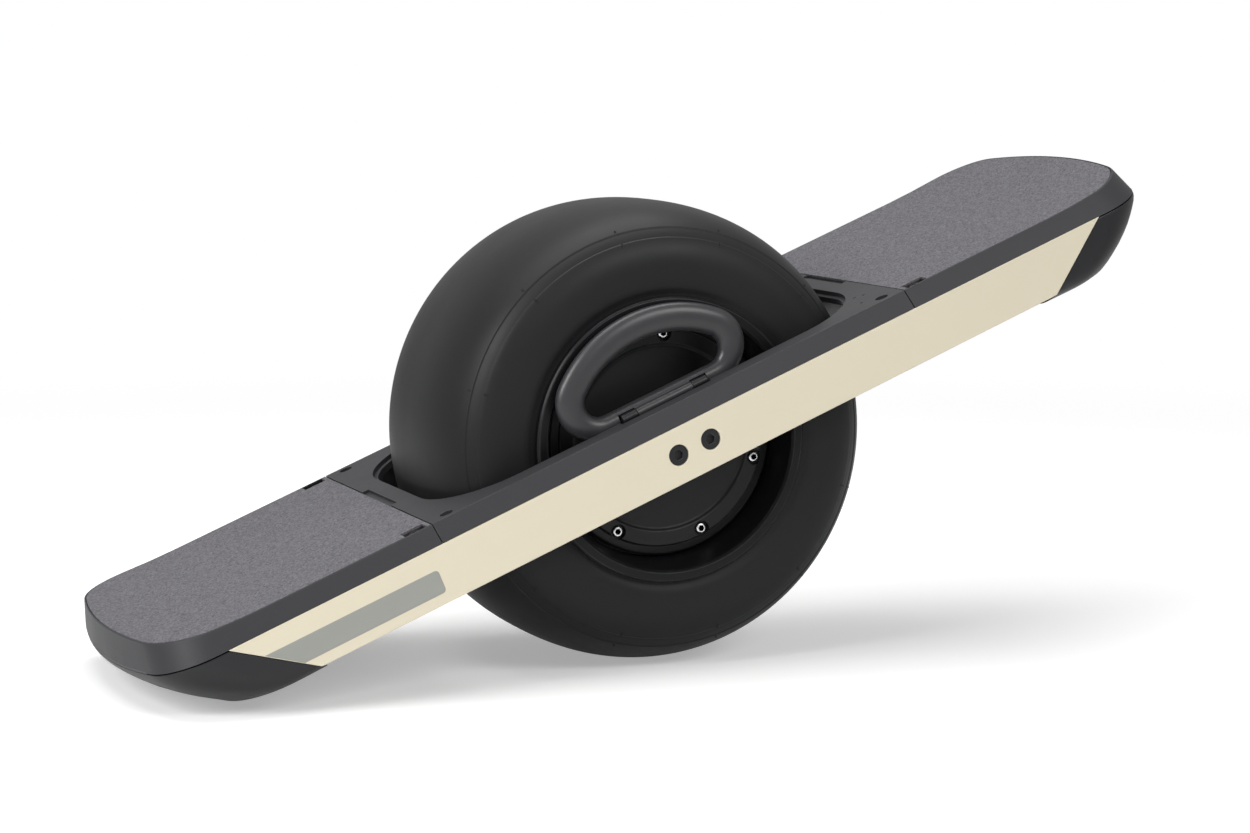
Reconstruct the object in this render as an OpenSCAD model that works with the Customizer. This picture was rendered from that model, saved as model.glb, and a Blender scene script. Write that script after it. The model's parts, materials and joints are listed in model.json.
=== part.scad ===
// One-wheeled electric skateboard, parked on its tail with the wheel on the floor.
// Every piece is drawn in the level board frame: X along the board with the raised
// nose at +X, Y across it, Z square to the deck, and the axle's centre at the origin.
// parked() then tips the whole board about the axle and stands it on the floor.

/* [Board] */
// Length over both bumpers
board_l = 686; // [640:2:740]
// Width over the two rail guards
board_w = 222; // [214:1:240]
// Height of the deck surface above the axle's centre
deck_z = 27; // [24:0.5:32]
// How far the flat deck stays inside the faces of the guards
deck_in = 6.2; // [5:0.1:9]
// Height of the guard's top edge, where the crease between the bumpers runs
crease_z = 15.6; // [13:0.2:18]
// Height of the guard's bottom edge
guard_bot_z = -16.4; // [-20:0.2:-15]
// Gap between the tyre and each end of the wheel well
well_gap = 8.8; // [7:0.2:12]
// Width of the surround's end plate between the wheel well and the footpad seam
end_plate = 14.8; // [12:0.2:20]
// Gap left at every visible seam
seam_gap = 0.6; // [0.4:0.1:1.2]
// Wall of the moulded covers
cover_t = 3; // [2:0.2:4]

/* [Nose and tail] */
// Radius of the upward sweep at both ends of the deck
kick_r = 492; // [400:10:700]
// How far the upward sweep starts behind the tip
kick_back = 81; // [66:1:100]
// Radius of the outline's corners
nose_corner_r = 35; // [25:1:50]
// Radius of the outline's end curve
nose_end_r = 388; // [300:4:500]
// How far the upper band leans back at the tip for each millimetre of height
nose_lean = 0.37; // [0.2:0.01:0.5]
// Lowest level of the bumper's underside
skid_z = -21; // [-22:0.2:-20]
// How far the underside's front edge lies behind the tip
skid_back = 34.4; // [30:0.2:40]
// How far the underside's outline lies inside the guards
skid_in = 12; // [9:0.5:15]

/* [Rails] */
// Thickness of the coloured rail guard
guard_t = 3; // [2:0.2:4]
// How far the guard's top corner lies behind the tip
guard_top_back = 49.6; // [43:0.2:63]
// How far the guard's bottom corner lies behind the tip
guard_bot_back = 93.4; // [87:0.2:103]
// Width of the hollow aluminium rail
rail_w = 16; // [14:0.5:18]
// Wall of the hollow rail
rail_wall = 3; // [2:0.2:4]
// How far the rail stops short of the guard's slanted end
rail_short = 9; // [6:1:16]
// Distance between the two axle bolts of one side
bolt_pitch = 21.6; // [20:0.2:26]
// Diameter of an axle bolt's head
bolt_head_d = 12; // [11:0.2:12.6]
// Diameter of an axle bolt's shank
bolt_d = 8; // [6:0.5:8]

/* [Wheel] */
// Diameter of the tyre
tyre_d = 277; // [270:0.5:279]
// Width of the tyre
tyre_w = 153; // [146:1:154]
// Roundness of the tyre's section, where 2 is an ellipse
tyre_power = 2.7; // [2.2:0.1:3.2]
// Radius at which the sidewall is widest
tyre_wide_r = 98; // [94:0.5:104]
// Thickness of the tread
tread_t = 7; // [5:0.5:9]
// Depth of the groove on each side of the shoulder band
band_depth = 0.7; // [0.4:0.1:1]
// Height of the rim's flange above the tyre's bead
flange_h = 5.4; // [4:0.2:7]
// Wall of the rim between the hub cover and the tyre's bead
rim_wall = 8; // [7.6:0.1:10]
// Room between the rim's flange and the rail, where the carry handle folds
wheel_room = 13.3; // [12:0.1:18]
// Thickness of the rim's flange
flange_t = 4; // [3:0.5:5]
// Distance from the rim's bore to the circle of cover screws
screw_wall = 4.1; // [3.6:0.1:5]
// Distance from the circle of cover screws to the hub cover's edge
cover_edge = 9.4; // [8:0.1:11]
// Half distance between the two hub covers' outer faces
cover_y = 61.5; // [60:0.5:63]
// Number of screws that hold each hub cover
cover_screws = 7; // [5:1:9]

/* [Motor] */
// Radius of the stator
stator_r = 50; // [48:0.5:50]
// Length of the stator's iron
stator_w = 44; // [36:1:50]
// Number of stator teeth
teeth = 27; // [18:3:30]
// Number of rotor magnets
magnets = 30; // [20:2:34]
// Thickness of a rotor magnet
magnet_t = 4; // [3:0.5:4.5]
// Thickness of the steel ring behind the magnets
yoke_t = 2.7; // [2:0.1:4]
// Width of the air gap
air_gap = 0.8; // [0.6:0.1:1]
// Diameter of the axle
axle_d = 20; // [18:1:22]

/* [Carry handle] */
// Radius of the handle's arch, about the axle's centre
grip_r = 82; // [78:0.5:84]
// Half width of the handle
grip_x = 62; // [56:1:64]
// Breadth of the grip seen from the side
grip_b = 17; // [14:0.5:19]
// Thickness of the grip across the board
grip_t = 9; // [7:0.5:9.5]
// Radius of a hinge knuckle
knuckle_r = 3.2; // [3:0.1:3.4]
// Half length of the handle's own knuckle
knuckle_x = 18.6; // [14:0.2:22]
// Radius of the hinge pin
hinge_pin_r = 1.5; // [1.2:0.1:1.8]

/* [Footpads] */
// Thickness of the footpad's stiff board
pad_t = 4.8; // [4:0.2:5.2]
// Thickness of the grip tape
tape_t = 1.2; // [1:0.1:1.6]
// How far the grip tape stays inside the deck's edge
tape_in = 1.4; // [1.3:0.1:2.4]

/* [Housings] */
// Distance from the end of a housing to the underside's front edge
box_gap = 23.6; // [21:0.2:36]
// Wall of a housing
box_wall = 3; // [2.4:0.2:3.6]
// Thickness of a housing's lid
lid_t = 3; // [2.4:0.2:3.2]
// Diameter of a battery cell
cell_d = 18.4; // [18:0.1:19]
// Length of a battery cell
cell_l = 65; // [62:0.5:66]
// Diameter of the motor and battery leads
lead_d = 6; // [4:0.5:6.5]

/* [Button and charge port] */
// Distance from the footpad seam to the power button
button_in = 30.6; // [27:0.2:38]
// Diameter of the power button
button_d = 12; // [10:0.5:12]
// Travel of the power button
button_travel = 1.5; // [1:0.1:2]
// Distance from the footpad seam to the charge port
port_in = 60.6; // [56:0.2:72]
// Bore of the charge port
port_d = 12; // [10:0.5:13]

/* [Hidden] */
$fn = 96;
e = 0.01;
fit = 0.05;      // slide and running fits, on the radius
ax_z = tyre_d / 2;
half_w = board_w / 2;
half_l = board_l / 2;
kick_x = half_l - kick_back;
guard_top_x = half_l - guard_top_back;
guard_bot_x = half_l - guard_bot_back;
skid_x = half_l - skid_back;
deck_hw = half_w - deck_in;
edge_slope = deck_in / (deck_z - crease_z);
edge_t = 4.1;    // wall of the sloping edge
top_z = deck_z + 12;             // level above the swept ends, for cutting tools
pad_gap = 0.3;

// heights of the stack under the deck
tape_bot = deck_z - tape_t;
pad_top = tape_bot;
pad_bot = pad_top - pad_t;
rail_top = pad_bot - pad_gap;
rail_bot = guard_bot_z + 0.4;
box_top = rail_top;
box_bot = skid_z + cover_t + pad_gap;

// positions across the board
guard_in = half_w - guard_t;
rail_out = guard_in - 0.2;
rail_in = rail_out - rail_w;
box_hw = rail_in - pad_gap;
rim_hw = rail_in - wheel_room;
duct_y = rail_in + rail_w / 2;
duct_z = rail_bot + rail_wall + lead_d / 2 + 0.1;

// wheel from the stator outward
rim_bore_r = stator_r + air_gap + magnet_t + yoke_t;
cover_screw_r = rim_bore_r + screw_wall;
cover_r = cover_screw_r + cover_edge;
seat_r = cover_r + rim_wall;
flange_r = seat_r + flange_h;

// wheel well and footpad seams along the board, from the tyre's chord at deck height
well_hx = sqrt(pow(ax_z, 2) - pow(deck_z, 2)) + well_gap;
seam_x = well_hx + end_plate;
box_x0 = seam_x + 5;
box_x1 = skid_x - box_gap;
button_x = seam_x + button_in;
port_x = seam_x + port_in;

// levels of the bumper below the crease and how far each lies behind the tip
chin_z = 10.6;
chin_back = 1.6;
jaw_back = 9.7;
cheek_z = -9;
cheek_back = 20.3;
heel_back = 60;

// slant of the guard's end
slant = (guard_top_x - guard_bot_x) / (crease_z - guard_bot_z);
function slant_x(z, back = 0) = guard_bot_x + slant * (z - guard_bot_z) - back;

// tilt that brings the tail's skid edge to the floor while the wheel stands on it
tilt = asin(ax_z / norm([skid_x, skid_z])) - atan2(-skid_z, skid_x);

// upward sweep of the deck ends
function kick(x) = x > kick_x ? pow(x - kick_x, 2) / (2 * kick_r) : 0;

// shift that centres the parked board over the origin
tip_z = deck_z + kick(upper_l(deck_z));
tail_reach = upper_l(tip_z) * cos(tilt) + tip_z * sin(tilt);
nose_reach = (half_l - chin_back) * cos(tilt) - chin_z * sin(tilt);
stand_x = (tail_reach - nose_reach) / 2;

// carry handle's hinge
hinge_y = -(rail_in - 1.5);
hinge_z = deck_z + 1;
grip_face_y = hinge_y + 0.3;

// placing helpers

// moves the level board to its parked place
module parked() {
    translate([stand_x, 0, ax_z]) rotate([0, -tilt, 0]) children();
}

// turns a revolved profile so that its axis lies along Y
module about_y() {
    rotate([-90, 0, 0]) children();
}

// extrudes an XZ outline across the board between two Y values
module across(y0, y1) {
    translate([0, y1, 0]) rotate([90, 0, 0]) linear_extrude(y1 - y0) children();
}

// extrudes a YZ outline along the board between two X values
module along(x0, x1) {
    translate([x0, 0, 0]) rotate([90, 0, 90]) linear_extrude(x1 - x0) children();
}

module box(x0, x1, y0, y1, z0, z1) {
    translate([x0, y0, z0]) cube([x1 - x0, y1 - y0, z1 - z0]);
}

// cylinder along Y from y0 to y1
module rod_y(x, z, r, y0, y1) {
    translate([x, y0, z]) rotate([-90, 0, 0]) cylinder(r = r, h = y1 - y0);
}

// cylinder along Z from z0 to z1
module rod_z(x, y, r, z0, z1) {
    translate([x, y, z0]) cylinder(r = r, h = z1 - z0);
}

// pieces are drawn for the far side and the raised end, and mirrored for the others
module near_side() {
    mirror([0, 1, 0]) children();
}

module rear_end() {
    mirror([1, 0, 0]) children();
}

module both_sides() {
    children();
    near_side() children();
}

module both_ends() {
    children();
    rear_end() children();
}

// turns a screw that points along -Y so that it points down
module upright() {
    rotate([90, 0, 0]) children();
}

// board outline

// centre of the outline's corner arc
function corner_x(l, w, rc, re) = l - re + sqrt(pow(re - rc, 2) - pow(w - rc, 2));

// half outline with straight sides at +-w, corner arcs rc and an end arc re whose tip is at l
function nose_points(l, w, rc, re, x0) =
    let (xc = corner_x(l, w, rc, re), yc = w - rc, a = atan2(yc, xc - (l - re)), n = 10)
    concat(
        [[x0, -w]],
        [for (i = [0:n]) let (t = -90 + (90 - a) * i / n) [xc + rc * cos(t), -yc + rc * sin(t)]],
        [for (i = [1:2 * n - 1]) let (t = -a + 2 * a * i / (2 * n)) [l - re + re * cos(t), re * sin(t)]],
        [for (i = [0:n]) let (t = a + (90 - a) * i / n) [xc + rc * cos(t), yc + rc * sin(t)]],
        [[x0, w]]);

// thin slice of the outline, two or more of which bound a tapering body
slice_t = 0.2;
module nose_slice(z, l, w, rc, re, x0) {
    translate([0, 0, z]) linear_extrude(slice_t) polygon(nose_points(l, w, rc, re, x0));
}

// half width and tip of the upper body at a height above the crease
function upper_w(z) = half_w - (z - crease_z) * edge_slope;
function upper_l(z) = half_l - (z - crease_z) * nose_lean;

// tapering upper body between the crease and well above the deck, inset on all sides
module upper_body(x0, inset, z0) {
    hull() {
        nose_slice(z0, upper_l(z0) - inset, upper_w(z0) - inset, nose_corner_r, nose_end_r, x0);
        nose_slice(top_z, upper_l(top_z) - inset, upper_w(top_z) - inset, nose_corner_r, nose_end_r, x0);
    }
}

// XZ band that follows the deck's sweep, from drop0 to drop1 below the deck surface
module sweep_band(x0, drop0, drop1) {
    n = 12;
    x1 = half_l + 10;
    xs = concat([x0], [for (i = [0:n]) kick_x + (x1 - kick_x) * i / n]);
    polygon(concat(
        [for (x = xs) [x, deck_z + kick(x) - drop0]],
        [for (i = [len(xs) - 1:-1:0]) [xs[i], deck_z + kick(xs[i]) - drop1]]));
}

// lower body of a bumper, inset on all sides
module lower_body(inset) {
    x0 = guard_bot_x - 40;
    hull() {
        nose_slice(crease_z - seam_gap - slice_t, half_l - inset, half_w - inset, nose_corner_r, nose_end_r, x0);
        nose_slice(chin_z, half_l - chin_back - inset, half_w - inset, nose_corner_r, nose_end_r, x0);
        nose_slice(0, half_l - jaw_back - inset, half_w - inset, nose_corner_r, nose_end_r, x0);
        nose_slice(cheek_z, half_l - cheek_back - inset, half_w - inset, nose_corner_r, nose_end_r, x0);
        nose_slice(guard_bot_z + min(inset, 2), half_l - heel_back - inset, half_w - inset,
            nose_corner_r - 2, nose_end_r, x0);
        nose_slice(skid_z + inset, skid_x - inset, half_w - skid_in - inset, nose_corner_r - 2, nose_end_r, x0);
    }
}

// wheel

function crown_r(y) =
    tyre_wide_r + (ax_z - tyre_wide_r) * pow(1 - pow(abs(y) / (tyre_w / 2), tyre_power), 1 / tyre_power);

// outer line of the tyre from one shoulder to the other
function crown(n, grow = 0) =
    [for (i = [0:n])
        let (a = 180 * i / n, c = cos(a), s = sin(a), q = 2 / tyre_power)
        [tyre_wide_r + (ax_z - tyre_wide_r + grow) * pow(abs(s), q),
         (tyre_w / 2 + grow) * sign(c) * pow(abs(c), q)]];

module tyre_section() {
    bead_y = rim_hw - flange_t - fit;
    bead_r = seat_r + fit;
    bead_t = 12;
    difference() {
        polygon(concat(crown(48), [
            [flange_r + 3, 0.6 - tyre_w / 2], [flange_r + 1.2, -bead_y], [bead_r, -bead_y],
            [bead_r, bead_y], [flange_r + 1.2, bead_y], [flange_r + 3, tyre_w / 2 - 0.6]]));
        // air chamber
        polygon(concat(crown(32, -tread_t), [
            [bead_r + 4, bead_t - 1 - bead_y], [bead_r - 1, bead_t - bead_y],
            [bead_r - 1, bead_y - bead_t], [bead_r + 4, bead_y - bead_t + 1]]));
        // shoulder bands
        for (s = [-1, 1]) for (y = [66.8, 71.4])
            translate([crown_r(y), s * y]) circle(r = band_depth, $fn = 24);
    }
}

module tyre() {
    color("#2b2b2d") about_y() rotate_extrude($fn = 180) tyre_section();
}

cover_seat_y = cover_y - 8.5;
valve_r = seat_r - 3.8;
valve_a = 200;
stem_r = 2.1;
stem_head_r = 3.4;
cap_r = 3.2;
cap_y = rim_hw - 4.5;        // outer end of the cap
stem_end_y = cap_y - 3;
stem_head_y = cover_seat_y - 4;

// rim section in radius and width, from the drop centre over the flange to the hub's bore
rim_points = [
    [seat_r - 13, cover_seat_y - 7], [seat_r, cover_seat_y + 7], [seat_r, rim_hw - flange_t],
    [flange_r, rim_hw - flange_t], [flange_r, rim_hw - 1.2], [flange_r - 1.2, rim_hw],
    [flange_r - 5.8, rim_hw], [flange_r - 7.2, rim_hw - 1.4],
    [cover_r + 1, cover_y - 1], [cover_r + 1, cover_seat_y],
    [rim_bore_r, cover_seat_y]];

module cover_screw_places() {
    for (i = [0:cover_screws - 1])
        rotate([0, 36.5 - i * 360 / cover_screws, 0]) translate([cover_screw_r, 0, 0]) children();
}

module rim_shell() {
    color("#232325") difference() {
        about_y() rotate_extrude($fn = 144)
            polygon(concat(rim_points,
                [for (i = [len(rim_points) - 1:-1:0]) [rim_points[i][0], -rim_points[i][1]]]));
        both_sides() cover_screw_places() rod_y(0, 0, 1.7, cover_seat_y - 10, cover_seat_y + 1);
        rotate([0, valve_a, 0]) {
            rod_y(valve_r, 0, stem_r + fit, stem_head_y - 9, rim_hw + 1);
            rod_y(valve_r, 0, stem_head_r + 0.2, stem_head_y - 9, stem_head_y + 3);
            rod_y(valve_r, 0, cap_r + 0.3, cap_y - 9, rim_hw + 1);
        }
    }
}

bearing_r = 23.5;
bearing_w = 14;
bearing_y = 41;
cover_bore_r = axle_d / 2 + 3;

// hub cover for the far side; its outer face looks to +Y
module hub_cover() {
    difference() {
        about_y() rotate_extrude($fn = 144) polygon([
            [cover_bore_r, cover_y - 1.6], [cover_screw_r - 7, cover_y - 1.6], [cover_screw_r - 5.4, cover_y],
            [cover_screw_r + 2.8, cover_y], [cover_screw_r + 3.8, cover_y - 1.4],
            [cover_r - 1.6, cover_y - 2.2], [cover_r, cover_y - 3.8],
            [cover_r, cover_seat_y + fit], [rim_bore_r - 0.3, cover_seat_y + fit],
            [rim_bore_r - 0.3, cover_seat_y - 3], [bearing_r + 12, cover_seat_y - 3],
            [bearing_r + 4, bearing_y - 1], [bearing_r + fit, bearing_y - 1],
            [bearing_r + fit, bearing_y + bearing_w], [cover_bore_r, bearing_y + bearing_w]]);
        cover_screw_places() {
            rod_y(0, 0, 2.2, cover_seat_y - 4, cover_y + 1);
            rod_y(0, 0, 4.6, cover_y - 3, cover_y + 1);
        }
    }
}

module button_screw(head_r, head_h, shank_r, length) {
    // head's underside at the origin, shank along -Y
    difference() {
        union() {
            rod_y(0, 0, head_r, 0, head_h);
            rod_y(0, 0, shank_r, -length, e);
        }
        translate([0, head_h * 0.35, 0]) rotate([-90, 0, 0]) cylinder(r = head_r * 0.52, h = head_h, $fn = 6);
    }
}

module cover_screw_set() {
    cover_screw_places() translate([0, cover_y - 3, 0]) button_screw(3.5, 2.4, 1.65, 13);
}

module rotor_yoke() {
    r0 = stator_r + air_gap + magnet_t;
    color("#6b6e73") about_y() rotate_extrude($fn = 144) polygon([
        [r0 + fit, -stator_w / 2 - 4], [rim_bore_r - fit, -stator_w / 2 - 4],
        [rim_bore_r - fit, stator_w / 2 + 4], [r0 + fit, stator_w / 2 + 4]]);
}

module rotor_magnets() {
    r0 = stator_r + air_gap;
    r1 = r0 + magnet_t;
    share = 0.9 * 360 / magnets;
    far = 2 * r1;
    color("#9a9ca0") for (i = [0:magnets - 1])
        rotate([0, i * 360 / magnets, 0]) across(-stator_w / 2 - 1, stator_w / 2 + 1) intersection() {
            difference() {
                circle(r = r1, $fn = 144);
                circle(r = r0, $fn = 144);
            }
            polygon([[0, 0], [far * cos(share / 2), -far * sin(share / 2)], [far * cos(share / 2), far * sin(share / 2)]]);
        }
}

// bearing for the far side: two rings, a ring of balls and two shields
module wheel_bearing() {
    bore = axle_d / 2 + fit;
    race_in = bore + 4.5;
    race_out = bearing_r - 4.5;
    mid_r = (race_in + race_out) / 2;
    ball_r = (race_out - race_in) / 2 + 1.4;
    mid_y = bearing_y + bearing_w / 2;
    about_y() rotate_extrude($fn = 96) difference() {
        union() {
            translate([bore, bearing_y]) square([race_in - bore, bearing_w]);
            translate([race_out, bearing_y]) square([bearing_r - race_out, bearing_w]);
            for (y = [bearing_y + 0.6, bearing_y + bearing_w - 1.4])
                translate([race_in - e, y]) square([race_out - race_in + 2 * e, 0.8]);
        }
        translate([mid_r, mid_y]) circle(r = ball_r + fit, $fn = 48);
    }
    for (i = [0:8]) rotate([0, i * 40, 0]) translate([mid_r, mid_y, 0]) sphere(r = ball_r, $fn = 32);
}

module valve_stem() {
    color("#1c1c1d") rotate([0, valve_a, 0]) {
        rod_y(valve_r, 0, stem_head_r, stem_head_y, stem_head_y + 2.95);
        difference() {
            rod_y(valve_r, 0, stem_r, stem_head_y + 2.9, stem_end_y);
            rod_y(valve_r, 0, stem_r / 2, stem_end_y - 11, stem_end_y + 1);
        }
    }
}

module valve_cap() {
    color("#111112") rotate([0, valve_a, 0]) difference() {
        rod_y(valve_r, 0, cap_r, cap_y - 8, cap_y);
        rod_y(valve_r, 0, stem_r + fit, cap_y - 9, stem_end_y + 0.2);
    }
}

// axle, motor and axle blocks

block_y0 = cover_y + 5;
block_y1 = rail_in - pad_gap;
axle_end = block_y1 - 12;
block_hx = bolt_pitch / 2 + 6.4;
block_z0 = guard_bot_z + 1.4;
block_z1 = crease_z - 0.6;
hub_r = stator_r * 0.42;

module axle() {
    r = axle_d / 2;
    color("#b9bcc0") difference() {
        about_y() rotate_extrude($fn = 96) polygon([
            [0, -axle_end], [r - 1, -axle_end], [r, -axle_end + 1], [r, 0.1 - bearing_y], [r + 3, 0.1 - bearing_y],
            [r + 3, -stator_w / 2 - 3], [hub_r - fit, -stator_w / 2], [hub_r - fit, stator_w / 2],
            [r + 3, stator_w / 2 + 3], [r + 3, bearing_y - 0.1], [r, bearing_y - 0.1], [r, axle_end - 1],
            [r - 1, axle_end], [0, axle_end]]);
        // flats that the axle blocks grip
        both_sides() for (z = [r - 2, -r - 2]) box(-r, r, block_y0, axle_end + 1, z, z + 4);
        // cable bore with its slanted way out to the coils
        rod_y(0, 0, lead_d / 2 + 0.4, stator_w / 2 + 6, axle_end + 1);
        translate([0, stator_w / 2 + 8, 0]) rod_z(0, 0, lead_d / 2 - 0.2, 0, r + 6);
    }
}

tooth_r0 = stator_r * 0.7;

module stator_core() {
    tip_gap = 2;
    color("#7c7f84") across(-stator_w / 2, stator_w / 2) difference() {
        union() {
            circle(r = tooth_r0);
            for (i = [0:teeth - 1]) rotate(i * 360 / teeth)
                translate([tooth_r0 - 1, -2]) square([stator_r - tooth_r0 - 1, 4]);
            difference() {
                circle(r = stator_r, $fn = 144);
                circle(r = stator_r - 3.4, $fn = 144);
                for (i = [0:teeth - 1]) rotate((i + 0.5) * 360 / teeth)
                    translate([stator_r - 6, -tip_gap / 2]) square([8, tip_gap]);
            }
        }
        circle(r = hub_r);
    }
}

module stator_coils() {
    coil_r1 = stator_r - 3.8;
    room = 2 * tooth_r0 * sin(180 / teeth);
    coil_hw = room / 2 - 0.2;
    color("#b06a35") for (i = [0:teeth - 1]) rotate([0, -i * 360 / teeth, 0]) difference() {
        box(tooth_r0 + 0.8, coil_r1, -stator_w / 2 - 5, stator_w / 2 + 5, -coil_hw, coil_hw);
        box(tooth_r0, coil_r1 + 1, -stator_w / 2 - 0.2, stator_w / 2 + 0.2, -2.15, 2.15);
    }
}

// sleeves between the bearings' inner rings and the axle blocks
module axle_spacers() {
    r = axle_d / 2;
    y0 = bearing_y + bearing_w + fit;
    color("#8d9095") both_sides() about_y() rotate_extrude() polygon([
        [r + fit, y0], [cover_bore_r - 0.6, y0], [cover_bore_r - 0.6, cover_y - 0.8], [r + 6, cover_y - 0.8],
        [r + 6, block_y0], [r + fit, block_y0]]);
}

module axle_bolt_places() {
    for (x = [-bolt_pitch / 2, bolt_pitch / 2]) translate([x, 0, 0]) children();
}

// axle block of the far side
module axle_block() {
    r = axle_d / 2 + 0.1;
    difference() {
        box(-block_hx, block_hx, block_y0, block_y1, block_z0, block_z1);
        intersection() {
            rod_y(0, 0, r, block_y0 - 1, axle_end + 0.2);
            box(-r, r, block_y0 - 1, axle_end + 0.2, -r + 2, r - 2);
        }
        axle_bolt_places() rod_y(0, 0, bolt_d / 2 - 0.4, axle_end + 3, block_y1 + 1);
        rod_y(0, 0, lead_d / 2 + 0.4, axle_end - 1, block_y1 + 1);
        // corner chamfers
        for (x = [-1, 1]) for (z = [block_z0, block_z1])
            translate([x * block_hx, block_y0, z]) rotate([0, 45, 0]) cube([6, 80, 6], center = true);
    }
}

// bolts of the far side, heads sunk into the guard
module axle_bolt_set() {
    axle_bolt_places() difference() {
        union() {
            rod_y(0, 0, bolt_head_d / 2, rail_out, half_w - 1);
            rod_y(0, 0, bolt_d / 2 - 0.5, axle_end + 4, rail_out + e);
        }
        translate([0, half_w - 3.4, 0]) rotate([-90, 0, 0]) cylinder(r = 3, h = 4, $fn = 6);
    }
}

// rails and guards

rib_x = block_hx + 3;
rib_z = bolt_d / 2 + 2.2;

// XZ outline whose ends follow the guard's slant
module slanted(z0, z1, back) {
    polygon([[-slant_x(z1, back), z1], [-slant_x(z0, back), z0], [slant_x(z0, back), z0], [slant_x(z1, back), z1]]);
}

// YZ section of a rail: a web on the inside and two flanges that point outward
module rail_section() {
    difference() {
        polygon([
            [rail_in, rail_bot], [rail_out, rail_bot], [rail_out, crease_z - 2.6],
            [rail_out - 4.6, rail_top], [rail_in, rail_top]]);
        translate([rail_in + rail_wall, rail_bot + rail_wall])
            square([rail_w, rail_top - rail_bot - 2 * rail_wall]);
    }
}

// rail of the far side, with a hole for each lead that passes its web
module rail(lead_ways) {
    difference() {
        intersection() {
            union() {
                along(-half_l, half_l) rail_section();
                // block that the axle bolts bear on
                box(-rib_x, rib_x, rail_in, rail_out, max(-rib_z, duct_z + lead_d / 2 + 0.4), rib_z);
            }
            across(rail_in - 1, rail_out + 1) slanted(rail_bot, rail_top, rail_short);
        }
        axle_bolt_places() rod_y(0, 0, bolt_d / 2, rail_in - 1, rail_out + 1);
        for (p = lead_ways) rod_y(p[0], p[1], lead_d / 2 + 0.6, rail_in - 1, rail_in + rail_wall + 1);
        housing_screw_places() rod_y(0, 0, 1.6, rail_in - 1, rail_in + rail_wall + 1);
        both_ends() {
            surround_screw_place() rod_z(0, 0, 1.6, rail_top - rail_wall - 1, rail_top + 1);
            fender_hole_place() rod_z(0, 0, fender_thread_r + 0.6, rail_top - rail_wall - 1, rail_top + 1);
        }
        both_ends() pad_screw_place() rod_z(0, 0, 1.6, rail_top - rail_wall - 1, rail_top + 1);
    }
}

module rail_near() {
    color("#5b5d61") near_side() difference() {
        rail([[lead_in_x, duct_z], [-lead_in_x, duct_z]]);
        bracket_screw_places() rod_y(0, 0, 1.2, rail_in - 1, rail_in + rail_wall + 1);
    }
}

module rail_far() {
    slot = lead_d / 2 + 0.6;
    color("#5b5d61") difference() {
        rail([[0, 0], [lead_in_x, duct_z]]);
        // way between the axle bolts for the motor lead
        box(-slot, slot, rail_in + rail_wall, rail_out + 1, -rib_z - 1, slot);
    }
}

// coloured guard of the far side, with a lip that hooks under the rail
module rail_guard() {
    difference() {
        union() {
            across(guard_in, half_w) slanted(guard_bot_z, crease_z, 0);
            across(guard_in - 6, guard_in + 1) slanted(guard_bot_z - 0.8, guard_bot_z + 0.2, 1);
        }
        axle_bolt_places() rod_y(0, 0, bolt_head_d / 2 + 0.25, guard_in - 1, half_w + 1);
    }
}

module rail_guard_near() {
    color("#e0d6be") near_side() rail_guard();
}

module rail_guard_far() {
    color("#e0d6be") difference() {
        rail_guard();
        rod_y(button_x, 0, button_d / 2 + socket_t + 0.3, guard_in - 1, half_w + 1);
        rod_y(port_x, 0, port_d / 2 + socket_t + 0.3, guard_in - 1, half_w + 1);
    }
}

// wheel-well surround

well_hy = rail_in - 1.6;
ledge = 2.4;
well_room = well_hy - ledge - tyre_w / 2;
well_r = min(48, 16 + 4 * well_room);     // smaller where the tyre leaves less room beside it
ledge_h = 4;
plate_t = 3;
plate_bot = deck_z - plate_t;
lift_slot_hy = 28;
fender_thread_r = 2.1;
fender_recess = 2.2;
seat_x0 = 100;

module round_rect(hx, hy, r) {
    square([2 * hx, 2 * (hy - r)], center = true);
    square([2 * (hx - r), 2 * hy], center = true);
    for (x = [r - hx, hx - r]) for (y = [r - hy, hy - r]) translate([x, y]) circle(r = r);
}

// YZ section of the sloping edge that runs along the deck
module edge_section() {
    z0 = crease_z + 0.3;
    polygon([
        [deck_hw - 0.7, deck_z], [deck_hw, deck_z], [upper_w(z0), z0], [upper_w(z0) - edge_t, z0],
        [deck_hw - 0.7, rail_top]]);
}

// threaded holes at the surround's corners for a fender
module fender_hole_place() {
    translate([seam_x - 11.9, rail_in + 5.4, 0]) children();
}

// screws that hold the surround, driven up through the rail's flange
module surround_screw_place() {
    translate([seat_x0 + 12, rail_in + rail_wall + 4, 0]) children();
}

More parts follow.
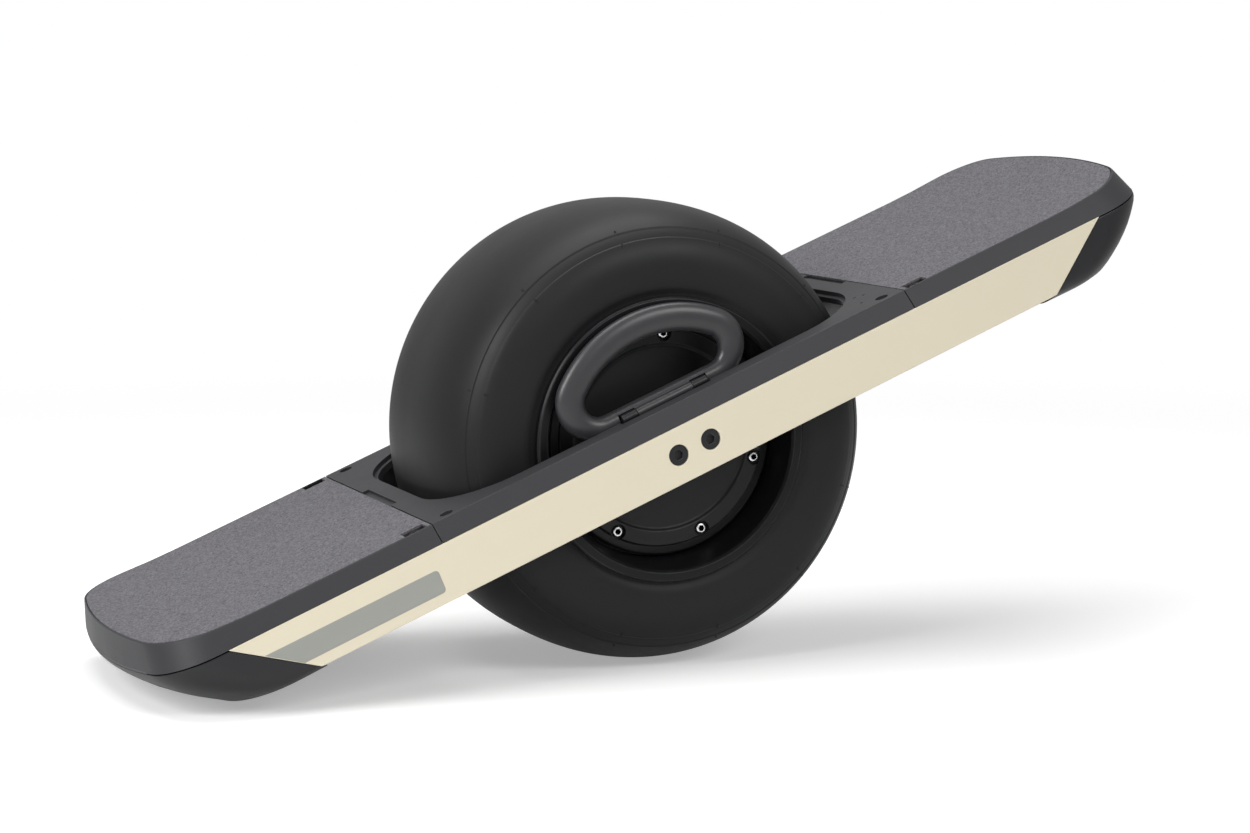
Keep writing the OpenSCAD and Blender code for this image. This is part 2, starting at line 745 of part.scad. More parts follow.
module wheel_well_surround() {
    x1 = seam_x - seam_gap / 2;
    bay_x = grip_x + 2.4;
    bracket_x = knuckle_x + 11.6;
    color("#3d3d40") difference() {
        union() {
            box(-x1, x1, -deck_hw, deck_hw, plate_bot, deck_z);
            both_sides() along(-x1, x1) edge_section();
            // ledge round the opening
            difference() {
                translate([0, 0, plate_bot - ledge_h]) linear_extrude(ledge_h + e)
                    round_rect(well_hx + 2.6, well_hy + 1, well_r + 1);
                translate([0, 0, plate_bot - ledge_h - 1]) linear_extrude(ledge_h + 2)
                    round_rect(well_hx - ledge, well_hy - ledge, well_r - ledge);
            }
            // seats on the rails
            both_sides() both_ends() box(seat_x0, x1, rail_in + 0.6, deck_hw - 1.4, rail_top + 0.05, plate_bot + e);
        }
        translate([0, 0, plate_bot]) linear_extrude(plate_t + 1) round_rect(well_hx, well_hy, well_r);
        // bay for the carry handle and its hinge
        box(-bay_x, bay_x, hinge_y - 0.1, ledge - well_hy, rail_top - 6, deck_z + 1);
        box(-bracket_x, bracket_x, hinge_y - knuckle_r - 0.5, ledge - well_hy, rail_top - 6, deck_z + 1);
        both_sides() both_ends() {
            fender_hole_place() {
                rod_z(0, 0, fender_thread_r, 0, deck_z + 1);
                rod_z(0, 0, 4, deck_z - fender_recess, deck_z + 1);
            }
            surround_screw_place() rod_z(0, 0, 1.3, 0, deck_z - 1);
        }
        // finger slots beside the footpads and three drain dimples
        both_ends() box(seam_x - 4.4, seam_x + 1, -lift_slot_hy, lift_slot_hy, deck_z - 2, deck_z + 1);
        for (p = [[142, -71], [147, -74], [138, -88]]) rod_z(p[0], p[1], 1, deck_z - 2, deck_z + 1);
    }
}

module surround_screws() {
    color("#8a8c90") both_sides() both_ends() surround_screw_place()
        translate([0, 0, rail_top - rail_wall]) mirror([0, 0, 1]) upright() button_screw(3.4, 1.9, 1.25, 7.6);
}

// bumpers

lip = 1.2;
floor_x = max(box_x1 + 6, slant_x(rail_top, rail_short) + 3);
nose_floor_z = crease_z + 1.4;
boss_r = 5;

module upper_bumper() {
    x0 = seam_x + seam_gap / 2;
    difference() {
        intersection() {
            upper_body(x0, 0, crease_z);
            across(-half_w - 1, half_w + 1) sweep_band(x0 - 1, 0, 40);
        }
        // seat of the footpad and its tape
        intersection() {
            upper_body(x0 - 1, lip, crease_z);
            across(-half_w - 1, half_w + 1) sweep_band(x0 - 2, -20, tape_t + pad_t + pad_gap);
        }
        // room for rails and housing, with a floor left in the nose
        difference() {
            upper_body(x0 - 1, edge_t, crease_z - 1);
            box(floor_x, half_l, -half_w, half_w, nose_floor_z, top_z);
        }
        light_slot();
        nose_screw_places() rod_z(0, 0, 1.6, 0, top_z);
    }
}

module lower_bumper() {
    difference() {
        union() {
            lower_body(0);
            nose_screw_places() rod_z(0, 0, boss_r, 5, nose_floor_z - 0.05);
        }
        // hollow, round the bosses that take the footpad's nose screws
        difference() {
            lower_body(cover_t);
            nose_screw_places() rod_z(0, 0, boss_r, -30, 30);
        }
        // slanted back edge against the guards
        across(-half_w - 1, half_w + 1) polygon([
            [0, -40], [slant_x(-40, -seam_gap), -40], [slant_x(40, -seam_gap), 40], [0, 40]]);
        light_slot();
        nose_screw_places() rod_z(0, 0, 1.3, 0, 40);
        bumper_screw_places() {
            rod_z(0, 0, 2.2, skid_z - 1, skid_z + 8);
            rod_z(0, 0, 4, skid_z - 1, skid_z + 1.4);
        }
    }
}

bumper_screw_x = box_x1 - 12;
bumper_screw_y = 60;
nose_screw_x = half_l - 24;
nose_screw_y = 56;

module bumper_screw_places() {
    for (y = [-bumper_screw_y, 0, bumper_screw_y]) translate([bumper_screw_x, y, 0]) children();
}

module nose_screw_places() {
    for (y = [-nose_screw_y, nose_screw_y]) translate([nose_screw_x, y, 0]) children();
}

module bumper_screws() {
    reach = box_bot + box_wall - 0.8 - (skid_z + 1.3);
    color("#57595d") both_ends() bumper_screw_places()
        translate([0, 0, skid_z + 1.3]) mirror([0, 0, 1]) upright() button_screw(3.7, 1.2, 1.55, reach);
}

// light strip that follows the crease round the tip

lens_h = 1.8;
lens_hy = 78;
lens_deep = 7;
strip_hy = 62;
led_w = 3.2;
lens_z = crease_z - seam_gap / 2;
led_pitch = 1.9;

// band between two insets from the end curve, cut to a half width
module light_band(out, in, hy) {
    intersection() {
        difference() {
            translate([half_l - nose_end_r, 0]) circle(r = nose_end_r - out, $fn = 360);
            translate([half_l - nose_end_r, 0]) circle(r = nose_end_r - in, $fn = 360);
        }
        translate([half_l - 60, -hy]) square([70, 2 * hy]);
    }
}

module light_slot() {
    translate([0, 0, lens_z - lens_h / 2]) linear_extrude(lens_h) light_band(-2, lens_deep + 1, lens_hy);
}

module light_lens() {
    translate([0, 0, lens_z - lens_h / 2 + 0.1]) linear_extrude(lens_h - 0.2)
        light_band(0.5, lens_deep, lens_hy - 0.3);
}

module light_board() {
    z0 = crease_z - 5;
    back = lens_deep + 1.6;
    translate([0, 0, z0]) linear_extrude(nose_floor_z - 0.05 - z0) light_band(back, back + board_t, strip_hy);
    for (i = [-4:4]) translate([half_l - nose_end_r, 0, 0]) rotate(i * led_pitch)
        translate([nose_end_r - back - 0.1, -led_w / 2, lens_z - lens_h / 2]) cube([lens_h * 0.6, led_w, lens_h]);
}

// footpads

// pocket at a footpad's inner corner that shows its screw
pocket_x0 = seam_x + 3;
pocket_l = 14;
pocket_y = deck_hw - 10;
pad_x0 = seam_x + seam_gap / 2 + 0.4;

module pad_screw_place() {
    translate([pocket_x0 + pocket_l / 2, pocket_y + 3.4, 0]) children();
}

module pad_pockets(z0) {
    both_sides() box(pocket_x0, pocket_x0 + pocket_l, pocket_y, half_w, z0, top_z);
}

// stiff board of the front footpad
module footpad() {
    difference() {
        intersection() {
            upper_body(pad_x0, lip + pad_gap, rail_top - 1);
            across(-half_w, half_w) sweep_band(pad_x0 - 1, tape_t, tape_t + pad_t);
        }
        pad_pockets(pad_top - 2);
        both_sides() pad_screw_place() rod_z(0, 0, 2.1, 0, top_z);
        nose_screw_places() {
            rod_z(0, 0, 2.1, 0, top_z);
            rod_z(0, 0, 4, nose_head_z, top_z);
        }
    }
}
nose_head_z = pad_top + kick(nose_screw_x) - 2.6;

module grip_tape() {
    difference() {
        intersection() {
            upper_body(pad_x0, tape_in, rail_top - 1);
            across(-half_w, half_w) sweep_band(pad_x0 - 1, 0, tape_t - 0.02);
        }
        pad_pockets(rail_top);
    }
}

// pressure film in a shallow bed under the front grip tape, one half for each side of a foot
sensor_x0 = seam_x + 20;
sensor_x1 = kick_x - 2;
sensor_hy = 88;
sensor_t = 0.6;

module foot_sensor() {
    color("#4b6f8a") both_sides() box(sensor_x0, sensor_x1, 1, sensor_hy, pad_top - sensor_t, pad_top - 0.02);
}

module footpad_front() {
    color("#26262a") difference() {
        footpad();
        box(sensor_x0 - 0.4, sensor_x1 + 0.4, -sensor_hy - 0.4, sensor_hy + 0.4, pad_top - sensor_t - 0.02, top_z);
    }
}

module footpad_screws() {
    color("#8a8c90") both_ends() {
        both_sides() pad_screw_place() translate([0, 0, pad_top - 2]) upright() button_screw(2.9, 1.8, 1.5, 8);
        nose_screw_places() translate([0, 0, nose_head_z]) upright() button_screw(3.6, 1.9, 1.25, 16);
    }
}

// battery and controller housings

lead_in_x = box_x0 + 10;
board_t = 1.6;
board_z = box_bot + box_wall + 4;
screw_in = 34;

module housing_screw_places() {
    both_ends() for (x = [box_x0 + screw_in, box_x1 - screw_in]) translate([x, 0, 8]) children();
}

module corner_cuts() {
    for (x = [box_x0, box_x1]) for (y = [-box_hw, box_hw])
        translate([x, y, 0]) rotate(45) cube([6, 6, 90], center = true);
}

// open tub of the front housing, with a hole on the far side for each listed lead
module tub() {
    difference() {
        box(box_x0, box_x1, -box_hw, box_hw, box_bot, box_top - lid_t);
        box(box_x0 + box_wall, box_x1 - box_wall, -box_hw + box_wall, box_hw - box_wall,
            box_bot + box_wall, box_top);
        corner_cuts();
        both_sides() housing_screw_places() rod_y(0, 0, 1.3, box_hw - box_wall - 1, box_hw + 1);
        bumper_screw_places() rod_z(0, 0, 1.6, box_bot - 1, box_bot + box_wall - 0.6);
        near_side() lead_hole();
    }
}

module lead_hole() {
    rod_y(lead_in_x, duct_z, lead_d / 2 + 0.4, box_hw - box_wall - 1, box_hw + 1);
}

module battery_housing() {
    color("#303033") rear_end() tub();
}

module controller_housing() {
    color("#303033") difference() {
        tub();
        lead_hole();
    }
}

module lid() {
    inset = box_wall + 0.3;
    difference() {
        union() {
            box(box_x0, box_x1, -box_hw, box_hw, box_top - lid_t + 0.05, box_top);
            box(box_x0 + inset, box_x1 - inset, -box_hw + inset, box_hw - inset,
                box_top - lid_t - 1.4, box_top - 1);
        }
        corner_cuts();
    }
}

cell_gap = 1.5;
cell_room = box_x1 - box_x0 - 2 * box_wall;
cell_rows = floor(cell_room / (cell_d + 0.6));
cell_pitch = cell_room / cell_rows;
cell_y1 = box_hw - box_wall - cell_gap;
cell_z = box_bot + box_wall + 0.3 + cell_d / 2;

module battery_cells() {
    color("#3f7d6b") rear_end() for (i = [0:cell_rows - 1]) for (k = [1, 2])
        translate([box_x0 + box_wall + (i + 0.5) * cell_pitch,
            cell_y1 - k * (cell_l + cell_gap) + cell_gap, cell_z]) rotate([-90, 0, 0]) cylinder(r = cell_d / 2, h = cell_l);
}

// balancing board on four posts beside the cells
module battery_board() {
    x0 = box_x0 + box_wall + 3;
    x1 = box_x1 - box_wall - 3;
    y0 = -lead_end_y + 0.5;
    y1 = cell_y1 - 2 * (cell_l + cell_gap) - 3;
    chips_x0 = x0 + 8;
    chip_pitch = (x1 - chips_x0) / 6;
    color("#2f6b3c") rear_end() {
        box(x0, x1, y0, y1, board_z, board_z + board_t);
        for (i = [0:5]) box(chips_x0 + i * chip_pitch, chips_x0 + i * chip_pitch + 10, y0 + 4, (y0 + y1) / 2,
            board_z + board_t - e, board_z + board_t + 3);
        for (x = [x0 + 3, x1 - 3]) for (y = [y0 + 3, y1 - 3])
            rod_z(x, y, 2, box_bot + box_wall + 0.05, board_z + e);
    }
}

// front end of what lies in the controller housing, clear of the leads
inner_x0 = lead_in_x + lead_d / 2 + 3;

module heat_spreader() {
    y1 = box_hw - box_wall - 1;
    z0 = box_bot + box_wall + 0.05;
    color("#9fa3a8") difference() {
        box(inner_x0, box_x1 - box_wall - 1, -y1, y1, z0, board_z - 0.1);
        for (i = [-4:4]) box(inner_x0 + 10, box_x1 - 14, i * 16 - 2, i * 16 + 2, z0 + 2.2, board_z + 1);
    }
}

module controller_board() {
    x0 = inner_x0 + 2;
    x1 = box_x1 - box_wall - 6;
    hy = box_hw - box_wall - 12;
    z = board_z + board_t;
    color("#24553a") {
        box(x0, x1, -hy, hy, board_z, z);
        // power transistors, smoothing capacitors, processor and connectors
        for (i = [0:5]) box(x0 + 8, x0 + 18, -45 + i * 16, -36 + i * 16, z - e, z + 4.4);
        for (i = [0:2]) rod_y(x0 + 38, z + 6.2, 6, -40 + i * 30, -16 + i * 30);
        for (i = [0:2]) box(x0 + 35, x0 + 41, -34 + i * 30, -22 + i * 30, z - e, z + 2);
        box(x1 - 34, x1 - 20, -8, 6, z - e, z + 1.4);
        for (y = [-60, 44]) box(x1 - 16, x1 - 4, y, y + 14, z - e, z + 9);
    }
}

module housing_screws() {
    color("#57595d") both_sides() housing_screw_places()
        translate([0, rail_in + rail_wall, 0]) button_screw(2.8, 1.7, 1.25, rail_wall + pad_gap + box_wall - 0.6);
}

// leads

bend_r = 5;
lead_end_y = box_hw - box_wall - 5;

// quarter bend that starts along +X at the origin and turns to +Y
module quarter_bend(r) {
    translate([0, r, 0]) rotate(-90) rotate_extrude(angle = 90, $fn = 48) translate([r, 0]) circle(r = lead_d / 2);
}

module lead_along(x0, x1) {
    translate([x0, duct_y, duct_z]) rotate([0, 90, 0]) cylinder(r = lead_d / 2, h = x1 - x0);
}

// turn from the rail's channel into the front housing
module lead_turn_in() {
    translate([lead_in_x - bend_r, duct_y, duct_z]) mirror([0, 1, 0]) quarter_bend(bend_r);
    rod_y(lead_in_x, duct_z, lead_d / 2, lead_end_y, duct_y - bend_r);
}

// from the coils through the axle, down behind the bolts and along the far rail
module motor_lead() {
    drop_r = -duct_z / 2;
    color("#d07a2a") {
        rod_y(0, 0, lead_d / 2, stator_w / 2 + 8, duct_y - drop_r);
        translate([0, duct_y - drop_r, 0]) rotate([-90, 0, 90]) quarter_bend(drop_r);
        translate([0, duct_y, -drop_r]) rotate([90, 0, 0]) rotate(-90) quarter_bend(drop_r);
        lead_along(drop_r, lead_in_x - bend_r);
        lead_turn_in();
    }
}

module battery_lead() {
    color("#b8452f") near_side() {
        lead_along(-lead_in_x + bend_r, lead_in_x - bend_r);
        both_ends() lead_turn_in();
    }
}

// power button and charge port on the far rail

socket_t = 2;
socket_flange = 1.6;
socket_in = rail_in + rail_wall + 2;
socket_floor = socket_in + 2;
button_base = half_w - 6;

// cup with a flange that sits on the guard
module socket(x, bore_d) {
    difference() {
        union() {
            rod_y(x, 0, bore_d / 2 + socket_t, socket_in, half_w + e);
            rod_y(x, 0, bore_d / 2 + socket_t + socket_flange, half_w, half_w + 0.8);
        }
        rod_y(x, 0, bore_d / 2, socket_floor, half_w + 2);
    }
}

module button_bezel() {
    color("#1d1d1f") socket(button_x, button_d + 0.6);
}

module power_button() {
    color("#3a3a3e") difference() {
        union() {
            rod_y(button_x, 0, button_d / 2, button_base, half_w + 0.4);
            rod_y(button_x, 0, 1.4, socket_floor + button_travel + 0.5, button_base + e);
        }
        // shallow dish for the fingertip
        rod_y(button_x, 0, button_d / 2 - 2, half_w, half_w + 1);
    }
}

// spring between the socket's floor and the button, one tube wound round the button's stem
spring_r = 3;
spring_wire = 0.8;
spring_turns = 4;
spring_sides = 8;
spring_steps = 12;

module button_spring() {
    y0 = socket_floor + spring_wire / 2 + 0.05;
    y1 = button_base - spring_wire / 2 - 0.05;
    n = spring_turns * spring_steps;
    centre = [for (i = [0:n]) [spring_r * cos(360 * i / spring_steps), y0 + (y1 - y0) * i / n,
        spring_r * sin(360 * i / spring_steps)]];
    points = [for (i = [0:n]) for (k = [0:spring_sides - 1])
        let (a = 360 * i / spring_steps, b = 360 * k / spring_sides, r = spring_r + spring_wire / 2 * cos(b))
        [r * cos(a), centre[i][1] + spring_wire / 2 * sin(b), r * sin(a)]];
    faces = concat(
        [for (i = [0:n - 1]) for (k = [0:spring_sides - 1])
            let (p = i * spring_sides + k, q = i * spring_sides + (k + 1) % spring_sides)
            [p, p + spring_sides, q + spring_sides, q]],
        [[for (k = [0:spring_sides - 1]) k]],
        [[for (k = [spring_sides - 1:-1:0]) n * spring_sides + k]]);
    color("#b9bcc0") translate([button_x, 0, 0]) polyhedron(points, faces, convexity = 8);
}

module charge_port() {
    color("#19191b") {
        socket(port_x, port_d);
        for (a = [90, 210, 330])
            rod_y(port_x + 3.2 * cos(a), 3.2 * sin(a), 0.9, socket_floor - e, half_w - 4);
    }
}

// carry handle on the near rail

// radius of a round end that touches the arch, the side and the bottom of a D outline
function end_r(r, hx, z0) = let (b = z0 - hx + r) sqrt(b * b + r * r - hx * hx - z0 * z0) - b;

// D outline in XZ: an arch about the axle, a straight bottom and round ends
function d_points(r, hx, z0) =
    let (rr = end_r(r, hx, z0), x = hx - rr, z = z0 + rr, a = atan2(z, x), n = 14, m = 36)
    concat(
        [for (i = [0:n]) let (t = -90 + (90 + a) * i / n) [x + rr * cos(t), z + rr * sin(t)]],
        [for (i = [1:m - 1]) let (t = a + (180 - 2 * a) * i / m) [r * cos(t), r * sin(t)]],
        [for (i = [0:n]) let (t = 180 - a + (90 + a) * i / n) [rr * cos(t) - x, z + rr * sin(t)]]);

grip_z0 = hinge_z - 6;
grip_bar = 12;

module grip_ring(inset) {
    difference() {
        polygon(d_points(grip_r - inset, grip_x - inset, grip_z0 + inset));
        polygon(d_points(grip_r - grip_b + inset, grip_x - grip_b + inset, grip_z0 + grip_bar - inset));
    }
}

// cylinder on the hinge's axis between two X values
module on_hinge(r, x0, x1) {
    translate([x0, hinge_y, hinge_z]) rotate([0, 90, 0]) cylinder(r = r, h = x1 - x0);
}

module carry_handle() {
    soft = 1.6;
    y0 = grip_face_y;
    y1 = grip_face_y + grip_t;
    color("#2c2c2e") difference() {
        union() {
            across(y0 + soft, y1 - soft) grip_ring(0);
            across(y0, y0 + soft + e) grip_ring(soft);
            across(y1 - soft - e, y1) grip_ring(soft);
            // hinge knuckle and the web that joins it to the grip
            on_hinge(knuckle_r, -knuckle_x, knuckle_x);
            box(-knuckle_x, knuckle_x, hinge_y, y0 + 2, hinge_z - 1.6, hinge_z + knuckle_r);
        }
        on_hinge(hinge_pin_r + fit, -half_w, half_w);
        // room for the bracket's knuckles
        both_ends() on_hinge(knuckle_r + 0.4, knuckle_x + e, knuckle_x + knuckle_gap + bracket_l + 1);
    }
}

knuckle_gap = 0.3;
bracket_l = 9.6;
bracket_t = 1.1;
bracket_screw_z = hinge_z - 15;

bracket_foot_l = 16.4;

module bracket_screw_places() {
    x = knuckle_x + knuckle_gap + bracket_foot_l - 4;
    for (i = [-1, 1]) translate([i * x, 0, bracket_screw_z]) children();
}

// two knuckles on feet that are screwed to the rail's web, joined by a bar above the axle block
module hinge_bracket() {
    y0 = rail_in - 0.05 - bracket_t;
    y1 = y0 + bracket_t;
    x0 = knuckle_x + knuckle_gap;
    foot_x0 = max(x0, block_hx + 0.4);
    bar_z = block_z1 + 1.5;
    color("#4a4a4d") near_side() difference() {
        union() {
            box(-x0 - 1, x0 + 1, y0, y1, bar_z, bar_z + 3.5);
            both_ends() {
                box(foot_x0, x0 + bracket_foot_l, y0, y1, bracket_screw_z - 4, hinge_z - 8);
                box(x0, x0 + bracket_l, y0, y1, hinge_z - 9, hinge_z);
                near_side() on_hinge(knuckle_r, x0, x0 + bracket_l);
            }
        }
        near_side() on_hinge(hinge_pin_r, -half_w, half_w);
        bracket_screw_places() rod_y(0, 0, 1.4, y0 - 1, y0 + 3);
    }
}

module hinge_pin() {
    reach = knuckle_x + knuckle_gap + bracket_l;
    color("#c3c5c8") on_hinge(hinge_pin_r, -reach, reach);
}

module bracket_screws() {
    color("#57595d") bracket_screw_places()
        translate([0, -rail_in + 0.05 + bracket_t, 0]) button_screw(2.4, 1.5, 1.15, bracket_t + rail_wall - 0.2);
}

// drawing

parked() tyre();
parked() rim_shell();
parked() near_side() color("#2f2f31") hub_cover();  // hub_cover_near
parked() color("#2f2f31") hub_cover();  // hub_cover_far
parked() near_side() color("#cfd0d2") cover_screw_set();  // cover_screws_near
parked() color("#cfd0d2") cover_screw_set();  // cover_screws_far
parked() rotor_yoke();
parked() rotor_magnets();
parked() near_side() color("#a9acb0") wheel_bearing();  // wheel_bearing_near
parked() color("#a9acb0") wheel_bearing();  // wheel_bearing_far
parked() valve_stem();
parked() valve_cap();
parked() axle();
parked() stator_core();
parked() stator_coils();
parked() axle_spacers();
parked() near_side() color("#85888d") axle_block();  // axle_block_near
parked() color("#85888d") axle_block();  // axle_block_far
parked() near_side() color("#242426") axle_bolt_set();  // axle_bolts_near
parked() color("#242426") axle_bolt_set();  // axle_bolts_far
parked() rail_near();
parked() rail_far();
parked() rail_guard_near();
parked() rail_guard_far();
parked() wheel_well_surround();
parked() surround_screws();
parked() color("#434346") upper_bumper();  // upper_bumper_front
parked() rear_end() color("#434346") upper_bumper();  // upper_bumper_rear
parked() color("#37373a") lower_bumper();  // lower_bumper_front
parked() rear_end() color("#37373a") lower_bumper();  // lower_bumper_rear
parked() bumper_screws();
parked() color("#202022") light_lens();  // light_lens_front
parked() rear_end() color("#202022") light_lens();  // light_lens_rear
parked() color("#2f6b3c") light_board();  // light_board_front
parked() rear_end() color("#2f6b3c") light_board();  // light_board_rear
parked() footpad_front();
parked() rear_end() color("#26262a") footpad();  // footpad_rear
parked() color("#76747b") grip_tape();  // grip_tape_front
parked() rear_end() color("#76747b") grip_tape();  // grip_tape_rear
parked() foot_sensor();
parked() footpad_screws();
parked() battery_housing();
parked() rear_end() color("#3a3a3d") lid();  // battery_lid
parked() battery_cells();
parked() battery_board();
parked() controller_housing();
parked() color("#3a3a3d") lid();  // controller_lid
parked() controller_board();
parked() heat_spreader();
parked() housing_screws();
parked() motor_lead();
parked() battery_lead();
parked() power_button();
parked() button_bezel();
parked() button_spring();
parked() charge_port();
parked() carry_handle();
parked() hinge_bracket();
parked() hinge_pin();
parked() bracket_screws();
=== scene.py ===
# %% [markdown]
# # A one-wheeled electric board, parked on its tail
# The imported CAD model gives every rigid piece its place. This lesson dresses it: it finishes each carried-over
# piece with a procedural material, and rebuilds the pieces whose soft edges and fine details the CAD solids
# leave out. The scene is in metres, in the frame of the CAD model, and the board lies along X with its nose
# raised at +X.

# %% Load the frame
import json
import math

import bmesh
import bpy
from mathutils import Matrix, Vector


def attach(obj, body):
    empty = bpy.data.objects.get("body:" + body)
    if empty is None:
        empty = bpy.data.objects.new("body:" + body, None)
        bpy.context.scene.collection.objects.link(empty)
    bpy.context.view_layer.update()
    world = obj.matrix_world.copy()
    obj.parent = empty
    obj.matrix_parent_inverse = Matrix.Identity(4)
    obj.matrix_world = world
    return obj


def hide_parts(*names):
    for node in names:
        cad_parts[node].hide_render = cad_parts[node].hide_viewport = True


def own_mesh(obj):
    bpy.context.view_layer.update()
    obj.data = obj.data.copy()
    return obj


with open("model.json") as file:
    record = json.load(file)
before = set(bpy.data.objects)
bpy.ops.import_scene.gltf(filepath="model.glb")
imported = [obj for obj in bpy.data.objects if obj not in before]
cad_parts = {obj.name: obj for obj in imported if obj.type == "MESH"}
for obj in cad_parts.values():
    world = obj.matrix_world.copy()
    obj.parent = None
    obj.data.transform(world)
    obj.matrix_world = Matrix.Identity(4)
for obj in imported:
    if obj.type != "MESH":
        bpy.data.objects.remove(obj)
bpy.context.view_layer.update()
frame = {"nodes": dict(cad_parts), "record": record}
nodes = frame["nodes"]

# %% [markdown]
# The board is easiest to model level, with the axle's centre at the origin and lengths in millimetres. One
# matrix then tips it onto its tail and brings it to metres, which is how the real board goes from the bench to
# the floor.

# %% Board frame
MM = 0.001
TILT = math.radians(22.7075)
AXLE_X, AXLE_Z = 6.184, 138.5
PARKED = Matrix.Scale(MM, 4) @ Matrix.Translation((AXLE_X, 0, AXLE_Z)) @ Matrix.Rotation(-TILT, 4, "Y")
print("axle at", [round(v, 4) for v in PARKED.translation])

# %% [markdown]
# ## Camera
# The photograph was taken with a long lens from a little above the floor. A camera fitted to the guard's
# straight edges, the tyre's outline and the axle bolts gives its place, turn and focal length.

# %% Camera
SENSOR_WIDTH, FOCAL_LENGTH, SIGHT = 36, 87.783, 60
CAMERA_PLACE = (-0.68417, -1.70833, 0.36353)
CAMERA_TURN = (83.2057, -0.0756, -22.0337)
lens = bpy.data.cameras.new("studio_camera")
lens.sensor_width = SENSOR_WIDTH
lens.lens = FOCAL_LENGTH
lens.clip_end = SIGHT
camera = bpy.data.objects.new("studio_camera", lens)
camera.location = CAMERA_PLACE
camera.rotation_euler = [math.radians(a) for a in CAMERA_TURN]
bpy.context.collection.objects.link(camera)
bpy.context.scene.camera = camera
print("camera looks with a field of", round(math.degrees(lens.angle), 1), "degrees")

# %% [markdown]
# ## Shader building blocks
# A material is a small graph of nodes. A few helpers keep the graphs short: they add a node and feed its
# sockets, do one sum, or start a node group, which is an effect that several materials share.

# %% Node helpers
def put(tree, kind, links=(), **values):
    """Adds a node, sets its properties or plain sockets, and links (source socket, socket name) pairs."""
    node = tree.nodes.new("ShaderNode" + kind)
    for key, value in values.items():
        if key in node.bl_rna.properties:
            setattr(node, key, value)
        else:
            node.inputs[key.replace("_", " ")].default_value = value
    for source, name in links:
        tree.links.new(source, node.inputs[name])
    return node


def sum_of(tree, operation, first, second):
    """The result of a Math node on a socket and another socket or a plain number."""
    node = put(tree, "Math", [(first, 0)], operation=operation)
    if isinstance(second, bpy.types.NodeSocket):
        tree.links.new(second, node.inputs[1])
    else:
        node.inputs[1].default_value = second
    return node.outputs[0]


def cleared(owner):
    """Switches a material or a world to nodes and returns its empty tree."""
    owner.use_nodes = True
    owner.node_tree.nodes.clear()
    return owner.node_tree


def start_group(name, output, **inputs):
    """Makes a node group of number sockets, and returns its tree, its inputs and its one output."""
    tree = bpy.data.node_groups.new(name, "ShaderNodeTree")
    for key, start in inputs.items():
        tree.interface.new_socket(key, in_out="INPUT", socket_type="NodeSocketFloat").default_value = start
    tree.interface.new_socket(output, in_out="OUTPUT", socket_type="NodeSocketFloat")
    return tree, tree.nodes.new("NodeGroupInput").outputs, tree.nodes.new("NodeGroupOutput").inputs[output]


print("node helpers ready")

# %% [markdown]
# ## Studio
# The real object stood on white paper that runs up behind it, under broad soft lights from above and the left.
# A pale floor takes the light and the shadow. The lamps alone would leave it light grey, so it also glows a
# little, but only to the camera, and far off it is plain white. Mirror images on the glossy pieces show these
# surroundings at less than half their strength, which keeps the dark plastic dark.

# %% Floor and backdrop
MIRRORED = 0.45
FLOOR_HALF = 12
FLOOR_ALBEDO = 0.8
FLOOR_LIFT = 0.36
FADE_FROM, FADE_TO = 0.75, 1.7


def as_seen(tree):
    """How strongly a ray shows the surroundings: fully to the camera or through glass, less in a mirror image."""
    ray = put(tree, "LightPath").outputs
    direct = sum_of(tree, "MAXIMUM", ray["Is Camera Ray"], ray["Is Transmission Ray"])
    return sum_of(tree, "MAXIMUM", direct, sum_of(tree, "MULTIPLY", ray["Is Glossy Ray"], MIRRORED))


def paper(name):
    """Pale paper: diffuse near the object, plain white light to the camera far from it."""
    made = bpy.data.materials.new(name)
    tree = cleared(made)
    seen = as_seen(tree)
    reach = put(tree, "VectorMath", [(put(tree, "TexCoord").outputs["Object"], 0)], operation="LENGTH")
    away = put(tree, "MapRange", [(reach.outputs["Value"], "Value")], interpolation_type="SMOOTHSTEP",
               From_Min=FADE_FROM, From_Max=FADE_TO)
    matt = put(tree, "BsdfDiffuse", Color=(FLOOR_ALBEDO, FLOOR_ALBEDO, FLOOR_ALBEDO, 1))
    glow = put(tree, "Emission", [(sum_of(tree, "MULTIPLY", seen, FLOOR_LIFT), "Strength")])
    lit = put(tree, "AddShader", [(matt.outputs[0], 0), (glow.outputs[0], 1)])
    white = put(tree, "Emission", [(seen, "Strength")])
    both = put(tree, "MixShader", [(away.outputs["Result"], "Fac"), (lit.outputs[0], 1), (white.outputs[0], 2)])
    put(tree, "OutputMaterial", [(both.outputs[0], "Surface")])
    return made


ground = bmesh.new()
bmesh.ops.create_grid(ground, x_segments=1, y_segments=1, size=FLOOR_HALF)
floor_mesh = bpy.data.meshes.new("paper_floor")
ground.to_mesh(floor_mesh)
ground.free()
floor_mesh.materials.append(paper("white_paper"))
paper_floor = bpy.data.objects.new("paper_floor", floor_mesh)
bpy.context.collection.objects.link(paper_floor)
print("floor", tuple(round(v, 1) for v in paper_floor.dimensions))

# %% World and lamps
AIR_GLOW = 0.17
